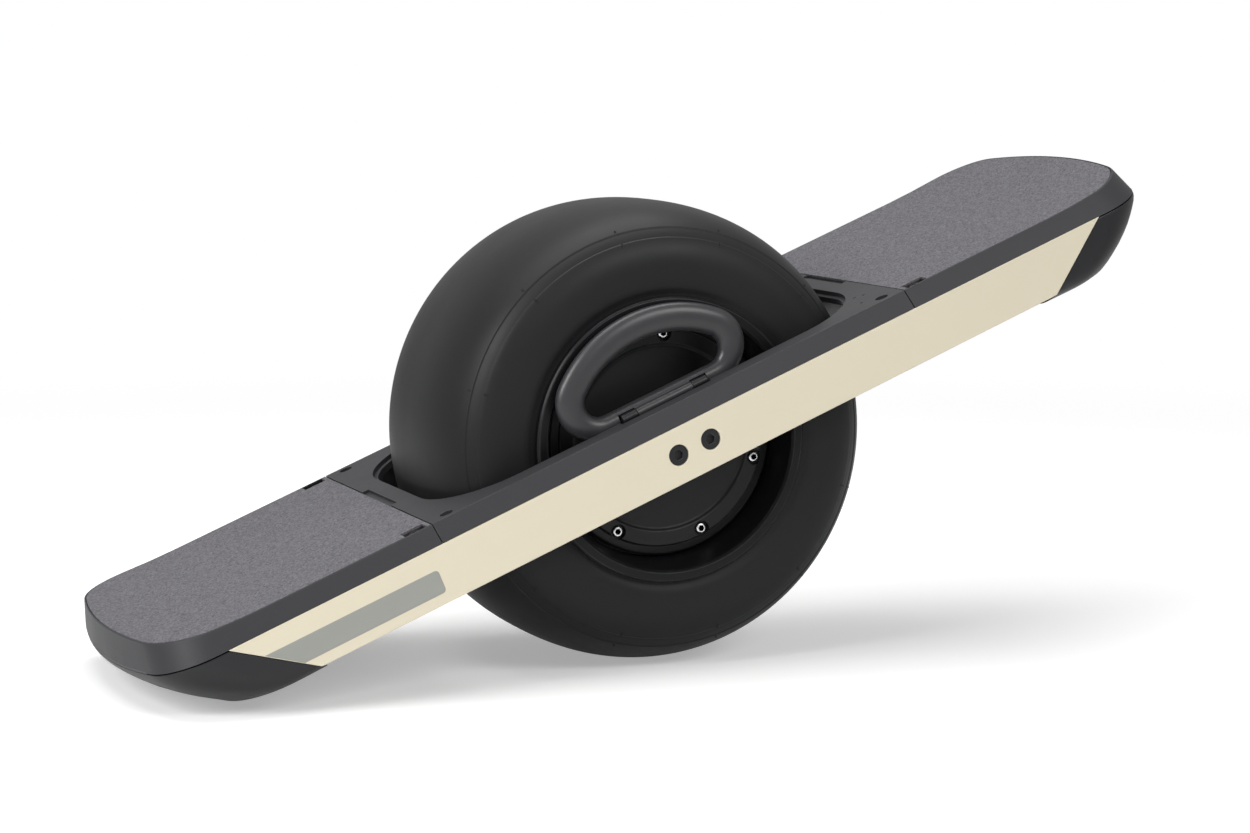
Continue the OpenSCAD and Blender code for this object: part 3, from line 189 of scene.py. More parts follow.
# where it stands, what it points at, width and height, power
LAMPS = {
    "lamp_overhead": ((-0.1, 0.3, 2.2), (0, 0, 0.1), (2.2, 1.4), 33),
    "lamp_left": ((-2.0, -0.8, 1.3), (-0.1, 0, 0.15), (0.9, 1.3), 40),
    "lamp_front": ((0.9, -2.2, 1.7), (0.15, 0, 0.15), (1.6, 1.0), 27),
}
world = bpy.data.worlds.new("studio_air")
bpy.context.scene.world = world
air = cleared(world)
soft = put(air, "Background", Color=(1, 1, 1, 1), Strength=AIR_GLOW)
clear = put(air, "Background", Color=(1, 1, 1, 1), Strength=1)
shown = put(air, "MixShader", [(as_seen(air), "Fac"), (soft.outputs[0], 1), (clear.outputs[0], 2)])
put(air, "OutputWorld", [(shown.outputs[0], "Surface")])
for name, (place, target, size, power) in LAMPS.items():
    lamp = bpy.data.lights.new(name, "AREA")
    lamp.shape, lamp.size, lamp.size_y, lamp.energy = "RECTANGLE", *size, power
    holder = bpy.data.objects.new(name, lamp)
    holder.location = place
    holder.rotation_euler = (Vector(target) - Vector(place)).to_track_quat("-Z", "Y").to_euler()
    bpy.context.collection.objects.link(holder)
bpy.context.scene.view_settings.view_transform = "Standard"
print("lamps", ", ".join(LAMPS))

# %% [markdown]
# ## Shared surface effects
# Four effects turn up on many pieces. Grain is the fine pebble of moulded plastic and cast metal. Handling is
# the broad, faint unevenness that hands, dust and cleaning leave in the gloss. Rub is the paler line along an
# edge: partly wear, and partly a painted highlight where a rounded edge catches the light. It reads a mask that
# the modelling step stores on bevelled edges. Brushing is the fine parallel scratch pattern of machined metal.

# %% Grain group
tree, ends, out = start_group("moulded_grain", "Height", Scale=900, Roughen=0.5)
place = put(tree, "TexCoord").outputs["Object"]
cells = put(tree, "TexVoronoi", [(place, "Vector"), (ends["Scale"], "Scale")], feature="SMOOTH_F1", Smoothness=0.6)
fine = put(tree, "TexNoise", [(place, "Vector"), (ends["Scale"], "Scale"), (ends["Roughen"], "Roughness")],
           Detail=3)
tree.links.new(sum_of(tree, "ADD", cells.outputs["Distance"], fine.outputs["Fac"]), out)
print("group moulded_grain has", len(tree.nodes), "nodes")

# %% Handling group
tree, ends, out = start_group("handling_marks", "Mask", Scale=11, Amount=1)
place = put(tree, "TexCoord").outputs["Object"]
broad = put(tree, "TexNoise", [(place, "Vector"), (ends["Scale"], "Scale")], Detail=5, Roughness=0.62)
spread = put(tree, "MapRange", [(broad.outputs["Fac"], "Value")], From_Min=0.35, From_Max=0.7)
tree.links.new(sum_of(tree, "MULTIPLY", spread.outputs["Result"], ends["Amount"]), out)
print("group handling_marks has", len(tree.nodes), "nodes")

# %% Edge wear and painted highlight group
tree, ends, out = start_group("edge_wear_and_highlight", "Mask", Breakup=70, Amount=0.5)
stored = put(tree, "Attribute", attribute_name="rub")
place = put(tree, "TexCoord").outputs["Object"]
broken = put(tree, "TexNoise", [(place, "Vector"), (ends["Breakup"], "Scale")], Detail=4)
gate = put(tree, "MapRange", [(broken.outputs["Fac"], "Value")], From_Min=0.4, From_Max=0.62, To_Min=0.25)
patchy = sum_of(tree, "MULTIPLY", stored.outputs["Fac"], gate.outputs["Result"])
tree.links.new(sum_of(tree, "MULTIPLY", patchy, ends["Amount"]), out)
print("group edge_wear_and_highlight has", len(tree.nodes), "nodes")

# %% Brushing group
LINE_STRETCH = 0.04
tree, ends, out = start_group("brushed_lines", "Height", Scale=1400)
place = put(tree, "TexCoord").outputs["Object"]
drawn = put(tree, "Mapping", [(place, "Vector")], Scale=(1, LINE_STRETCH, 1))
lines = put(tree, "TexNoise", [(drawn.outputs[0], "Vector"), (ends["Scale"], "Scale")], Detail=2)
tree.links.new(lines.outputs["Fac"], out)
print("group brushed_lines has", len(tree.nodes), "nodes")

# %% [markdown]
# ## Finishes
# Most surfaces are a base colour with a slightly different tone in it, a gloss that handling makes uneven, a fine
# relief, and paler edges. One function builds that graph on a Principled shader. What is the same all over the
# surface goes straight on the shader's own sockets.

# %% Finish maker
RELIEF_DEPTH = 0.0001
# edges go paler by this gain and lift: partly wear, partly a painted highlight
WEAR_AND_HIGHLIGHT_GAIN, WEAR_AND_HIGHLIGHT_LIFT = 1.5, 0.03


def shared(tree, name, **values):
    """Places one of the groups above and returns its output."""
    return put(tree, "Group", node_tree=bpy.data.node_groups[name], **values).outputs[0]


def mixed(tree, mask, first, second):
    """Mixes two plain colours or two sockets by a mask."""
    node = put(tree, "Mix", data_type="RGBA")
    tree.links.new(mask, node.inputs["Factor"])
    for key, value in (("A", first), ("B", second)):
        socket = [s for s in node.inputs if s.name == key and s.type == "RGBA"][0]
        if isinstance(value, bpy.types.NodeSocket):
            tree.links.new(value, socket)
        else:
            socket.default_value = (*value, 1)
    return [s for s in node.outputs if s.type == "RGBA"][0]


def surfaced(tree, links, **plain):
    """Ends a material's graph with a Principled shader."""
    shader = put(tree, "BsdfPrincipled", links, **plain)
    put(tree, "OutputMaterial", [(shader.outputs[0], "Surface")])


# rub sets how much paler the edges go: partly wear, partly a painted highlight
def finish(name, colour, rough, grain=900, relief=0.1, tone=0.05, rub=0.5, pattern="moulded_grain", uneven=0.12,
           **plain):
    """A base colour with tone, uneven gloss, fine relief, and paler edges for wear and a painted highlight."""
    made = bpy.data.materials.new(name)
    tree = cleared(made)
    height = shared(tree, pattern, Scale=grain)
    handled = shared(tree, "handling_marks", Scale=11, Amount=1)
    worn_and_lit_edge = shared(tree, "edge_wear_and_highlight", Breakup=70, Amount=rub)
    toned = mixed(tree, handled, [c * (1 - tone) for c in colour], [c * (1 + tone) for c in colour])
    edged = mixed(tree, worn_and_lit_edge, toned, [min(1, c * WEAR_AND_HIGHLIGHT_GAIN + WEAR_AND_HIGHLIGHT_LIFT) for c in colour])
    gloss = put(tree, "MapRange", [(handled, "Value")], To_Min=rough * (1 - uneven),
                To_Max=min(1, rough * (1 + uneven))).outputs["Result"]
    bump = put(tree, "Bump", [(height, "Height")], Strength=relief, Distance=RELIEF_DEPTH).outputs[0]
    surfaced(tree, [(edged, "Base Color"), (gloss, "Roughness"), (bump, "Normal")], **plain)
    return made


print("finish maker ready")

# %% [markdown]
# Grip tape is paper-thin film covered in coarse grit. Grains about a millimetre apart catch the light
# differently, so both the colour and the relief come from fine cells, with a broader cloudiness over them.

# %% Grip tape finish
def grit_finish(name, dark, pale):
    """Coarse grit: each grain has its own tone and stands up."""
    made = bpy.data.materials.new(name)
    tree = cleared(made)
    place = put(tree, "TexCoord").outputs["Object"]
    grains = put(tree, "TexVoronoi", [(place, "Vector")], Scale=1100)
    cloud = put(tree, "TexNoise", [(place, "Vector")], Scale=420, Detail=3, Roughness=0.7)
    tone = sum_of(tree, "ADD", grains.outputs["Color"], cloud.outputs["Fac"])
    level = put(tree, "MapRange", [(tone, "Value")], From_Min=0.45, From_Max=1.5)
    speckled = mixed(tree, level.outputs["Result"], dark, pale)
    bump = put(tree, "Bump", [(grains.outputs["Distance"], "Height")], Strength=0.6, Distance=0.0002, invert=True)
    surfaced(tree, [(speckled, "Base Color"), (bump.outputs[0], "Normal")], Roughness=0.9, Specular_IOR_Level=0.2)
    return made


grip_tape = grit_finish("grip_tape_grit", (0.070, 0.067, 0.075), (0.190, 0.184, 0.200))
print("grit has", len(grip_tape.node_tree.nodes), "nodes")

# %% Plain finishes
FINISHES = {
    "tyre": finish("tyre_rubber", (0.015, 0.015, 0.016), 0.47, grain=1500, relief=0.08, tone=0.06, rub=0.2,
                   Specular_IOR_Level=0.19),
    "rim_black": finish("rim_coating", (0.006, 0.006, 0.007), 0.36, grain=1200, relief=0.06,
                        Specular_IOR_Level=0.2),
    "hub_black": finish("hub_coating", (0.012, 0.012, 0.013), 0.42, grain=1600, relief=0.2,
                        Specular_IOR_Level=0.25),
    "bright_steel": finish("zinc_plated_steel", (0.78, 0.78, 0.79), 0.28, tone=0.06, relief=0.05, Metallic=1),
    "dark_steel": finish("black_oxide_steel", (0.012, 0.012, 0.014), 0.4, tone=0.2, rub=0.9, Metallic=0.3),
    "bare_steel": finish("machined_steel", (0.52, 0.53, 0.55), 0.32, tone=0.06, pattern="brushed_lines",
                         grain=1400, relief=0.15, Metallic=1),
    "magnet": finish("nickel_plating", (0.62, 0.61, 0.59), 0.25, Metallic=1),
    "copper": finish("enamelled_copper", (0.52, 0.24, 0.10), 0.35, pattern="brushed_lines", grain=2600,
                     relief=0.5, Metallic=0.6),
    "bare_aluminium": finish("machined_aluminium", (0.62, 0.63, 0.65), 0.36, pattern="brushed_lines",
                             relief=0.15, Metallic=1),
    "rail_metal": finish("anodised_rail", (0.16, 0.16, 0.17), 0.4, pattern="brushed_lines", relief=0.2,
                         Metallic=0.9),
    "guard_cream": finish("cream_moulding", (0.80, 0.728, 0.565), 0.45, grain=1500, relief=0.05, tone=0.004,
                          rub=0.2, uneven=0.03, Specular_IOR_Level=0.35),
    "trim_dark": finish("dark_trim_moulding", (0.036, 0.036, 0.039), 0.5, grain=1300, relief=0.3, rub=0.8,
                        Specular_IOR_Level=0.24),
    "bumper_dark": finish("bumper_moulding", (0.018, 0.018, 0.020), 0.38, grain=1300, relief=0.12, tone=0.06,
                          Specular_IOR_Level=0.32),
    "lens_smoke": finish("smoked_lens", (0.02, 0.02, 0.023), 0.3, relief=0.02, Specular_IOR_Level=0.3),
    "board_green": finish("circuit_board", (0.03, 0.15, 0.06), 0.4, grain=500, relief=0.2, tone=0.2),
    "pad_core": finish("stained_laminate", (0.035, 0.031, 0.029), 0.6, pattern="brushed_lines", grain=700,
                       relief=0.4),
    "grip_tape": grip_tape,
    "sensor_film": finish("printed_film", (0.08, 0.18, 0.28), 0.3, tone=0.1),
    "housing_black": finish("black_moulding", (0.025, 0.025, 0.027), 0.5, relief=0.25),
    "housing_metal": finish("black_anodising", (0.06, 0.06, 0.066), 0.42, Metallic=0.8),
    "cell_wrap": finish("shrink_wrap", (0.05, 0.28, 0.18), 0.3, tone=0.1, Coat_Weight=0.3),
    "rubber_black": finish("plain_rubber", (0.02, 0.02, 0.02), 0.7),
    "lead_orange": finish("orange_insulation", (0.55, 0.2, 0.035), 0.45),
    "lead_red": finish("red_insulation", (0.42, 0.045, 0.03), 0.45),
    "button_grey": finish("button_moulding", (0.055, 0.055, 0.06), 0.48, relief=0.2),
    "handle_dark": finish("handle_moulding", (0.034, 0.033, 0.036), 0.34, grain=1400, relief=0.02, tone=0.04,
                          rub=0.1, Specular_IOR_Level=0.5),
}
slot_of = {part["node"]: part["material_slot"] for part in frame["record"]["subparts"]}
for name, node in nodes.items():
    for slot in node.material_slots:
        slot.material = FINISHES[slot_of[name]]
print("finished", len(nodes), "carried-over nodes with", len(FINISHES), "materials")

# %% [markdown]
# ## Ways to make a piece
# Most moulded pieces have the right shape in the CAD model already, and lack only the small round that every
# moulded or machined edge has. Those are copied, welded, and their sharp edges bevelled, which is what catches
# the light on the real ones. The bevel's own faces are marked for the rub effect, which paints them paler:
# partly wear, partly a painted highlight. The soft forms, such as the tyre, the handle and the nose, are
# modelled afresh and stand for their CAD nodes.

# %% Piece helpers
WELD, SLIVER = 0.004, 0.001
FLAT = math.radians(0.05)


def from_node(name):
    """A welded copy of a carried-over node, laid level in the board frame, with flat regions made whole."""
    mesh = bmesh.new()
    mesh.from_mesh(nodes[name].data)
    bmesh.ops.transform(mesh, matrix=PARKED.inverted(), verts=mesh.verts)
    bmesh.ops.remove_doubles(mesh, verts=mesh.verts, dist=WELD)
    bmesh.ops.dissolve_degenerate(mesh, dist=SLIVER, edges=mesh.edges)
    bmesh.ops.dissolve_limit(mesh, angle_limit=FLAT, verts=mesh.verts, edges=mesh.edges)
    return mesh


def soften(mesh, width, angle, segments=2):
    """Rounds the edges that turn by more than an angle, and marks the round for the rub effect of wear and painted
    highlight.
    """
    rub = mesh.loops.layers.float.get("rub") or mesh.loops.layers.float.new("rub")
    turn = math.radians(angle)
    sharp = [e for e in mesh.edges if len(e.link_faces) == 2 and e.calc_face_angle(0) > turn]
    made = bmesh.ops.bevel(mesh, geom=sharp, offset=width, offset_type="OFFSET", affect="EDGES",
                           segments=segments, profile=0.5, material=-1, clamp_overlap=False, loop_slide=True)
    for face in made["faces"]:
        for corner in face.loops:
            corner[rub] = 1
    many_sided = [face for face in mesh.faces if len(face.verts) > 4]
    bmesh.ops.triangulate(mesh, faces=many_sided, quad_method="BEAUTY", ngon_method="BEAUTY")
    return len(sharp)


def piece(name, mesh, body, slot, stands_for=(), extra=(), angle=40):
    """Turns a bmesh in the board frame into an object that rides on a body."""
    bmesh.ops.transform(mesh, matrix=PARKED, verts=mesh.verts)
    data = bpy.data.meshes.new(name)
    mesh.to_mesh(data)
    mesh.free()
    for made in (FINISHES[slot], *extra):
        data.materials.append(made)
    data.shade_smooth()
    data.set_sharp_from_angle(angle=math.radians(angle))
    thing = bpy.data.objects.new(name, data)
    bpy.context.collection.objects.link(thing)
    even = thing.modifiers.new("even_shading", "WEIGHTED_NORMAL")
    even.keep_sharp = True
    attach(thing, body)
    if stands_for:
        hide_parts(*stands_for)
    print(f"{name}: {len(data.vertices)} vertices, {len(data.polygons)} faces")
    return thing


print("piece helpers ready")

# %% [markdown]
# ## Softened CAD pieces
# Guards, housings, screws and covers keep their CAD shape and get their rounds here. A round is 0.2 to 0.4 mm
# wide, as on the real edges, and no wider than the thinnest detail next to it bears. The faces of the axle
# bolts' sockets are found by their distance from the bolt, and get a near-black material that paints the shade
# inside the recess.

# %% Softened pieces
BOLT_X, BOLT_SOCKET_R, BOLT_HEAD_Y = 10.8, 3.1, 109.9
# body, width of the round, least turn of an edge that gets it
SOFTENED = {
    "rim_shell": ("wheel", 0.4, 25),
    "rail_guard_near": ("board", 0.22, 40), "rail_guard_far": ("board", 0.22, 40),
    "wheel_well_surround": ("board", 0.2, 40), "hinge_bracket": ("board", 0.2, 40),
    "axle_bolts_near": ("board", 0.35, 50), "axle_bolts_far": ("board", 0.35, 50),
    "battery_housing": ("board", 0.3, 40), "controller_housing": ("board", 0.3, 40),
    "battery_lid": ("board", 0.4, 40), "controller_lid": ("board", 0.4, 40),
    "button_bezel": ("board", 0.25, 50), "charge_port": ("board", 0.2, 50), "power_button": ("button", 0.2, 50),
    "footpad_screws": ("board", 0.2, 50), "bumper_screws": ("board", 0.2, 50),
}
# a near-black material that paints the shade deep inside the bolt and screw sockets
painted_socket_shade = finish("socket_shadow", (0.008, 0.008, 0.009), 0.6, rub=0)
for name, (body, width, angle) in SOFTENED.items():
    mesh = from_node(name)
    rounded = soften(mesh, width, angle)
    # socket faces take the second material, painted shade for the recess
    if name.startswith("axle_bolts"):
        for face in mesh.faces:
            x, y, z = face.calc_center_median()
            face.material_index = int(math.hypot(abs(x) - BOLT_X, z) < BOLT_SOCKET_R and abs(y) < BOLT_HEAD_Y)
    piece("soft_" + name, mesh, body, slot_of[name], [name], extra=[painted_socket_shade])
    print("  rounded", rounded, "edges of", name)

# %% [markdown]
# ## Button spring
# The spring behind the power button is a welded copy of its CAD node, with a mesh of its own.

# %% Button spring
spring = piece("button_return_spring", from_node("button_spring"), "board", slot_of["button_spring"],
               ["button_spring"])
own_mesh(spring)

# %% [markdown]
# ## Upper bumpers
# The dark edge round each footpad leans in, follows the deck as it sweeps up to the nose, and ends in a thin lip
# that holds the grip tape. It is one ring-shaped wall, so its section is drawn as a chain of loops: level ones
# at the foot, and ones that follow the deck at a given depth at the top. Bridging them closes the wall, and
# the flat cut at the seam is filled. Drawing the rounded top edge as loops keeps it even where the deck bends,
# and lets it end in the narrow groove that runs beside the tape. A thin block then cuts the light's slot at the
# tip. Each end of the board is the other's mirror image.

# %% End outline
HALF_L, HALF_W, CORNER_R, END_R = 343.0, 111.0, 35.0, 388.0
CREASE_Z, DECK_Z, NOSE_LEAN, SIDE_LEAN = 15.6, 27.0, 0.37, 6.2 / 11.4
KICK_X, KICK_R, SEAM_X = 262.0, 492.0, 159.74
RUN_ON = 8
FLANK_STEPS, CORNER_STEPS, END_STEPS = 9, 14, 30


def end_outline(tip, half, corner, start, side=lambda along: 0):
    """Half-loop round the nose: straight sides, corner arcs and the long end curve, as (x, y) points."""
    arc_x = tip - END_R + math.sqrt((END_R - corner) ** 2 - (half - corner) ** 2)
    turn = math.degrees(math.atan2(half - corner, arc_x - tip + END_R))
    flank = [(start + (arc_x - start) * i / FLANK_STEPS, half + side(i / FLANK_STEPS)) for i in range(FLANK_STEPS)]
    for i in range(CORNER_STEPS + 1):
        a = math.radians(90 - (90 - turn) * i / CORNER_STEPS)
        flank.append((arc_x + corner * math.cos(a), half - corner + corner * math.sin(a)))
    end = [math.radians(turn - 2 * turn * i / END_STEPS) for i in range(1, END_STEPS)]
    tip_arc = [(tip - END_R + END_R * math.cos(a), END_R * math.sin(a)) for a in end]
    return flank + tip_arc + [(x, -y) for x, y in reversed(flank)]


def leaning(z, inset):
    """Outline of the upper body at a height, set in by an amount, that runs on a little behind the seam."""
    rise = z - CREASE_Z
    return end_outline(HALF_L - rise * NOSE_LEAN - inset, HALF_W - rise * SIDE_LEAN - inset, CORNER_R,
                       SEAM_X - RUN_ON)


def deck(x):
    """Height of the deck, which sweeps up towards the tip."""
    return DECK_Z + max(0, x - KICK_X) ** 2 / (2 * KICK_R)


def level_loop(z, inset):
    """The outline at one height."""
    return [(x, y, z) for x, y in leaning(z, inset)]


def swept_loop(drop, inset):
    """Outline that stays a given depth below the deck, found in a few rounds, as each depends on the other."""
    line = leaning(DECK_Z - drop, inset)
    for _ in range(3):
        line = [leaning(deck(x) - drop, inset)[i] for i, (x, y) in enumerate(line)]
    return [(x, y, deck(x) - drop) for x, y in line]


print("end outline has", len(leaning(CREASE_Z, 0)), "points")

# %% [markdown]
# The operators that join loops need rings of edges, so a small helper makes them and bridges each to the next.
# Cuts are made with a plane where a flat end is wanted, and with a closed tool and the exact Boolean where
# something is let into the piece.

# %% Loops and cuts
def linked(row, closed):
    """Pairs of neighbours in a row, with the last and the first as well where it is closed."""
    return zip(row, row[1:] + row[:1] if closed else row[1:])


def ring(mesh, points):
    """A closed ring of edges through points."""
    row = [mesh.verts.new(point) for point in points]
    return [mesh.edges.new(pair) for pair in linked(row, True)]


def bridged(mesh, rings, closed=False):
    """Bridges each ring of edges to the next."""
    for first, second in linked(rings, closed):
        bmesh.ops.bridge_loops(mesh, edges=first + second)


def chained(mesh, loops, closed=False):
    """Makes rings from loops of points, bridges them in turn, and caps both ends of an open chain."""
    rings = [ring(mesh, loop) for loop in loops]
    bridged(mesh, rings, closed)
    if not closed:
        for end in (rings[0], rings[-1]):
            bmesh.ops.contextual_create(mesh, geom=end)
    bmesh.ops.recalc_face_normals(mesh, faces=mesh.faces)


def cut_off(mesh, place, normal):
    """Cuts a mesh along a plane, drops what lies behind it and fills the cut."""
    cut = bmesh.ops.bisect_plane(mesh, geom=mesh.verts[:] + mesh.edges[:] + mesh.faces[:], dist=0.0001,
                                 plane_co=place, plane_no=normal, clear_inner=True)["geom_cut"]
    bmesh.ops.holes_fill(mesh, edges=[e for e in cut if isinstance(e, bmesh.types.BMEdge)], sides=0)


def carve(mesh, tool):
    """Cuts one closed bmesh out of another and returns what is left."""
    pair = []
    for part in (mesh, tool):
        data = bpy.data.meshes.new("carving")
        part.to_mesh(data)
        part.free()
        pair.append(bpy.data.objects.new("carving", data))
        bpy.context.collection.objects.link(pair[-1])
    cut = pair[0].modifiers.new("cut", "BOOLEAN")
    cut.operation, cut.solver, cut.object = "DIFFERENCE", "EXACT", pair[1]
    left = bmesh.new()
    left.from_object(pair[0], bpy.context.evaluated_depsgraph_get())
    for thing in pair:
        data = thing.data
        bpy.data.objects.remove(thing)
        bpy.data.meshes.remove(data)
    return left


def block(mesh, size, place):
    """Adds a block of a size at a place."""
    bmesh.ops.create_cube(mesh, size=1, matrix=place @ Matrix.Diagonal((*size, 1)))


def mirrored_pair(make, name, stands_for, body, places, **more):
    """Makes a piece for each of two places, where one of them is the other's mirror image."""
    for where, mirror in places.items():
        mesh = make()
        if mirror is not None:
            bmesh.ops.transform(mesh, matrix=mirror, verts=mesh.verts)
            bmesh.ops.reverse_faces(mesh, faces=mesh.faces)
        node = f"{stands_for}_{where}"
        piece(f"{name}_{where}", mesh, body, slot_of[node], [node], **more)


BOTH_ENDS = {"front": None, "rear": Matrix.Scale(-1, 4, (1, 0, 0))}
BOTH_SIDES = {"near": Matrix.Scale(-1, 4, (0, 1, 0)), "far": None}
print("mirrored pairs:", *BOTH_ENDS, *BOTH_SIDES)

# %% Upper bumpers
LIP, EDGE_WALL, SEAT_DEPTH = 1.2, 4.1, 6.3
LENS_SLOT, LENS_PLACE = (26, 156.0, 2.4), (338, 0, 15)
# height and inset at the foot, then depth below the deck and inset at the rounded edge, groove, lip and seat
FOOT_ROWS = [(15.6, EDGE_WALL), (15.6, 0.35), (15.7, 0.1), (15.95, 0)]
TOP_ROWS = [
    (1.0, 0), (0.5, 0.06), (0.2, 0.2), (0.04, 0.4), (0.02, 0.62), (0.12, 0.72), (0.8, 0.76), (0.95, LIP),
    (SEAT_DEPTH, LIP), (SEAT_DEPTH, EDGE_WALL),
]


def upper_bumper():
    """The front wall, from the crease to the lip and back down its inside."""
    mesh = bmesh.new()
    chained(mesh, [level_loop(*row) for row in FOOT_ROWS] + [swept_loop(*row) for row in TOP_ROWS], closed=True)
    cut_off(mesh, (SEAM_X, 0, 0), (1, 0, 0))
    slot = bmesh.new()
    block(slot, LENS_SLOT, Matrix.Translation(LENS_PLACE))
    return carve(mesh, slot)


mirrored_pair(upper_bumper, "swept_upper_bumper", "upper_bumper", "board", BOTH_ENDS, angle=25)

# %% [markdown]
# ## Nose and tail shells
# Below the crease the nose is one full, soft curve down to the skid. It is built like a boat's hull: the end's
# outline is drawn at a series of levels, each set back a little further, and neighbouring loops are bridged. The
# chain goes up the outside and back down the inside, so the shell has its wall at once. It is then cut along the
# guard's slanted end, and its screw holes are drilled.

# %% Bumper levels
GUARD_FOOT, GUARD_SLANT, FLANK_X = (250.2, -16.4), 1.36875, 238
# level, set back behind the tip, inset at the guard, inset at the tip, corner radius
HULL = [
    (14.5, 0.9, 0.6, 0.6, 35), (14.9, 0.35, 0.2, 0.2, 35), (14.4, 0.05, 0.03, 0.03, 35), (13, 0.3, 0, 0, 35),
    (10.6, 1.4, 0, 0, 35), (7, 3.9, 0, 0, 35), (3.5, 6.7, 0, 0, 35), (0, 9.8, 0, 0, 35), (-4, 14.1, 0, 0, 35),
    (-8, 19.2, 0, 0, 34.5), (-12, 24.8, 0, 0.4, 34.5), (-15.4, 29.6, 0.35, 1.4, 34.5),
    (-18.2, 33.3, 3.8, 3.8, 34.5), (-20.1, 35.9, 9, 7.8, 35), (-20.85, 38.3, 12.7, 11.2, 36),
    (-21, 42, 17, 15, 36.5),
]


def hull_loop(z, back, side_in, tip_in, corner):
    """Outline of the lower shell at one level, flush with the guards at the back and drawn in at the tip."""
    def flank(along):
        return (tip_in - side_in) * (1 - along ** 2 * (3 - 2 * along))
    return [(x, y, z) for x, y in end_outline(HALF_L - back, HALF_W - tip_in, corner, FLANK_X, flank)]


print("hull has", len(HULL), "levels of", len(hull_loop(*HULL[0])), "points")

# %% Lower bumpers
WALL, SCREW_X, SCREW_YS = 2.4, 273.0, (-60, 0, 60)
# radius, length, middle's height and facets of the counterbore and of the screw's hole
SCREW_HOLE = ((4, 3, -21.1, 32), (2, 12, -18, 24))
# the wall's flat top, the walled levels between the rounded top and the skid, and the skid's inside
INNER = [(HULL[0][0], WALL, WALL, WALL, CORNER_R - WALL)]
INNER += [(z, back + WALL, side + WALL, tip + WALL, corner - WALL) for z, back, side, tip, corner in HULL[3:12]]
INNER += [(-18.4, 38, 14, 12, 36)]


def rod(mesh, radius, length, facets, place):
    """Adds a round rod that lies along Z before it is placed."""
    bmesh.ops.create_cone(mesh, cap_ends=True, segments=facets, radius1=radius, radius2=radius, depth=length,
                          matrix=place)


def lower_bumper():
    """The front shell below the crease, in the board frame."""
    mesh, tools = bmesh.new(), bmesh.new()
    chained(mesh, [hull_loop(*row) for row in HULL[::-1] + INNER])
    cut_off(mesh, (GUARD_FOOT[0], 0, GUARD_FOOT[1]), (1, 0, -GUARD_SLANT))
    for y in SCREW_YS:
        for radius, length, middle, facets in SCREW_HOLE:
            rod(tools, radius, length, facets, Matrix.Translation((SCREW_X, y, middle)))
    return carve(mesh, tools)


mirrored_pair(lower_bumper, "moulded_lower_bumper", "lower_bumper", "board", BOTH_ENDS, angle=38)

# %% [markdown]
# ## Tyre
# A smooth wide tyre is a section spun about the axle. Its crown is a rounded square that flattens on the tread,
# and a shallow band runs along each shoulder. Small moulding nubs stand in two rows at the band's edges, about
# thirty degrees apart.

# %% Tyre section
TYRE_R, TYRE_HALF, WIDE_R, SQUARE, THICK = 138.5, 76.5, 98.0, 2.7, 7
BAND_IN, BAND_OUT, BAND_DEPTH, BAND_RAMP, BAND_CENTRE = 118.6, 124.6, 0.45, 0.5, WIDE_R - 20
# the bead, as radius and place across the wheel, from the sidewall to the inside
BEAD = [
    (93, 76.6), (89.6, 76.3), (88.4, 75.4), (86.6, 75.2), (85.4, 74.45), (79.05, 74.45), (78.05, 62.45),
    (83.05, 63.45),
]


def lathe(points, steps, closed=True):
    """Spins a line of (radius, along Y) points about the axle's line."""
    mesh = bmesh.new()
    row = [mesh.verts.new((radius, along, 0)) for radius, along in points]
    line = [mesh.edges.new(pair) for pair in linked(row, closed)]
    bmesh.ops.spin(mesh, geom=row + line, cent=(0, 0, 0), axis=(0, 1, 0), angle=math.tau, steps=steps,
                   use_merge=True)
    bmesh.ops.remove_doubles(mesh, verts=mesh.verts, dist=0.0005)
    bmesh.ops.recalc_face_normals(mesh, faces=mesh.faces)
    return mesh


def crown(angle, shrink=0.0):
    """Radius and place across the wheel of the tyre's outer line; 0 and 180 degrees are the sidewalls."""
    c, s = math.cos(math.radians(angle)), math.sin(math.radians(angle))
    power = 2 / SQUARE
    return (WIDE_R + (TYRE_R - WIDE_R - shrink) * abs(s) ** power,
            math.copysign((TYRE_HALF - shrink) * abs(c) ** power, c))


def banded(point):
    """Sinks the shoulder band below the crown."""
    radius, along = point
    depth = BAND_DEPTH * max(0, min(1, (radius - BAND_IN) / BAND_RAMP, (BAND_OUT - radius) / BAND_RAMP))
    slant = Vector((radius - BAND_CENTRE, along)).normalized()
    return radius - depth * slant.x, along - depth * slant.y


# every three degrees, and every half degree at the shoulders
fine_angles = sorted({*range(0, 181, 3), *[a + 0.5 * k for a in (24, 145) for k in range(24)]})
section = [banded(crown(a)) for a in fine_angles] + [(radius, -along) for radius, along in BEAD]
section += [crown(a, THICK) for a in range(180, -1, -6)] + BEAD[::-1]
tyre = lathe(section, 180)
print("tyre section has", len(section), "points")

# %% Tyre nubs
NUB_START, NUB_STEP, NUB_COUNT = 66.9, 30.2, 12
NUB_SIZE, NUB_SUNK, NUB_CENTRE = (1.0, 2.6, 0.7), 0.3, WIDE_R - 12
for turn in range(NUB_COUNT):
    spin = Matrix.Rotation(math.radians(NUB_START + NUB_STEP * turn), 4, "Y")
    for radius, along in ((125.6, 65.3), (118.2, 72.3)):
        lean = math.pi / 2 - math.atan2(radius - NUB_CENTRE, along)
        for side in (1, -1):
            foot = Matrix.Translation((radius - NUB_SUNK, side * (along - NUB_SUNK), 0))
            block(tyre, NUB_SIZE, spin @ foot @ Matrix.Rotation(side * lean, 4, "Z"))
piece("moulded_tyre", tyre, "wheel", "tyre", ["tyre"], angle=50)

# %% [markdown]
# ## Hub covers
# A turned aluminium cover is dished in the middle, and its raised ring carries the screws in counterbores. The
# turned section is spun, its corners are rounded while they are still clean circles, and then it is drilled. The
# drill has a small cone at its mouth, so that each counterbore gets a broken edge that shines.

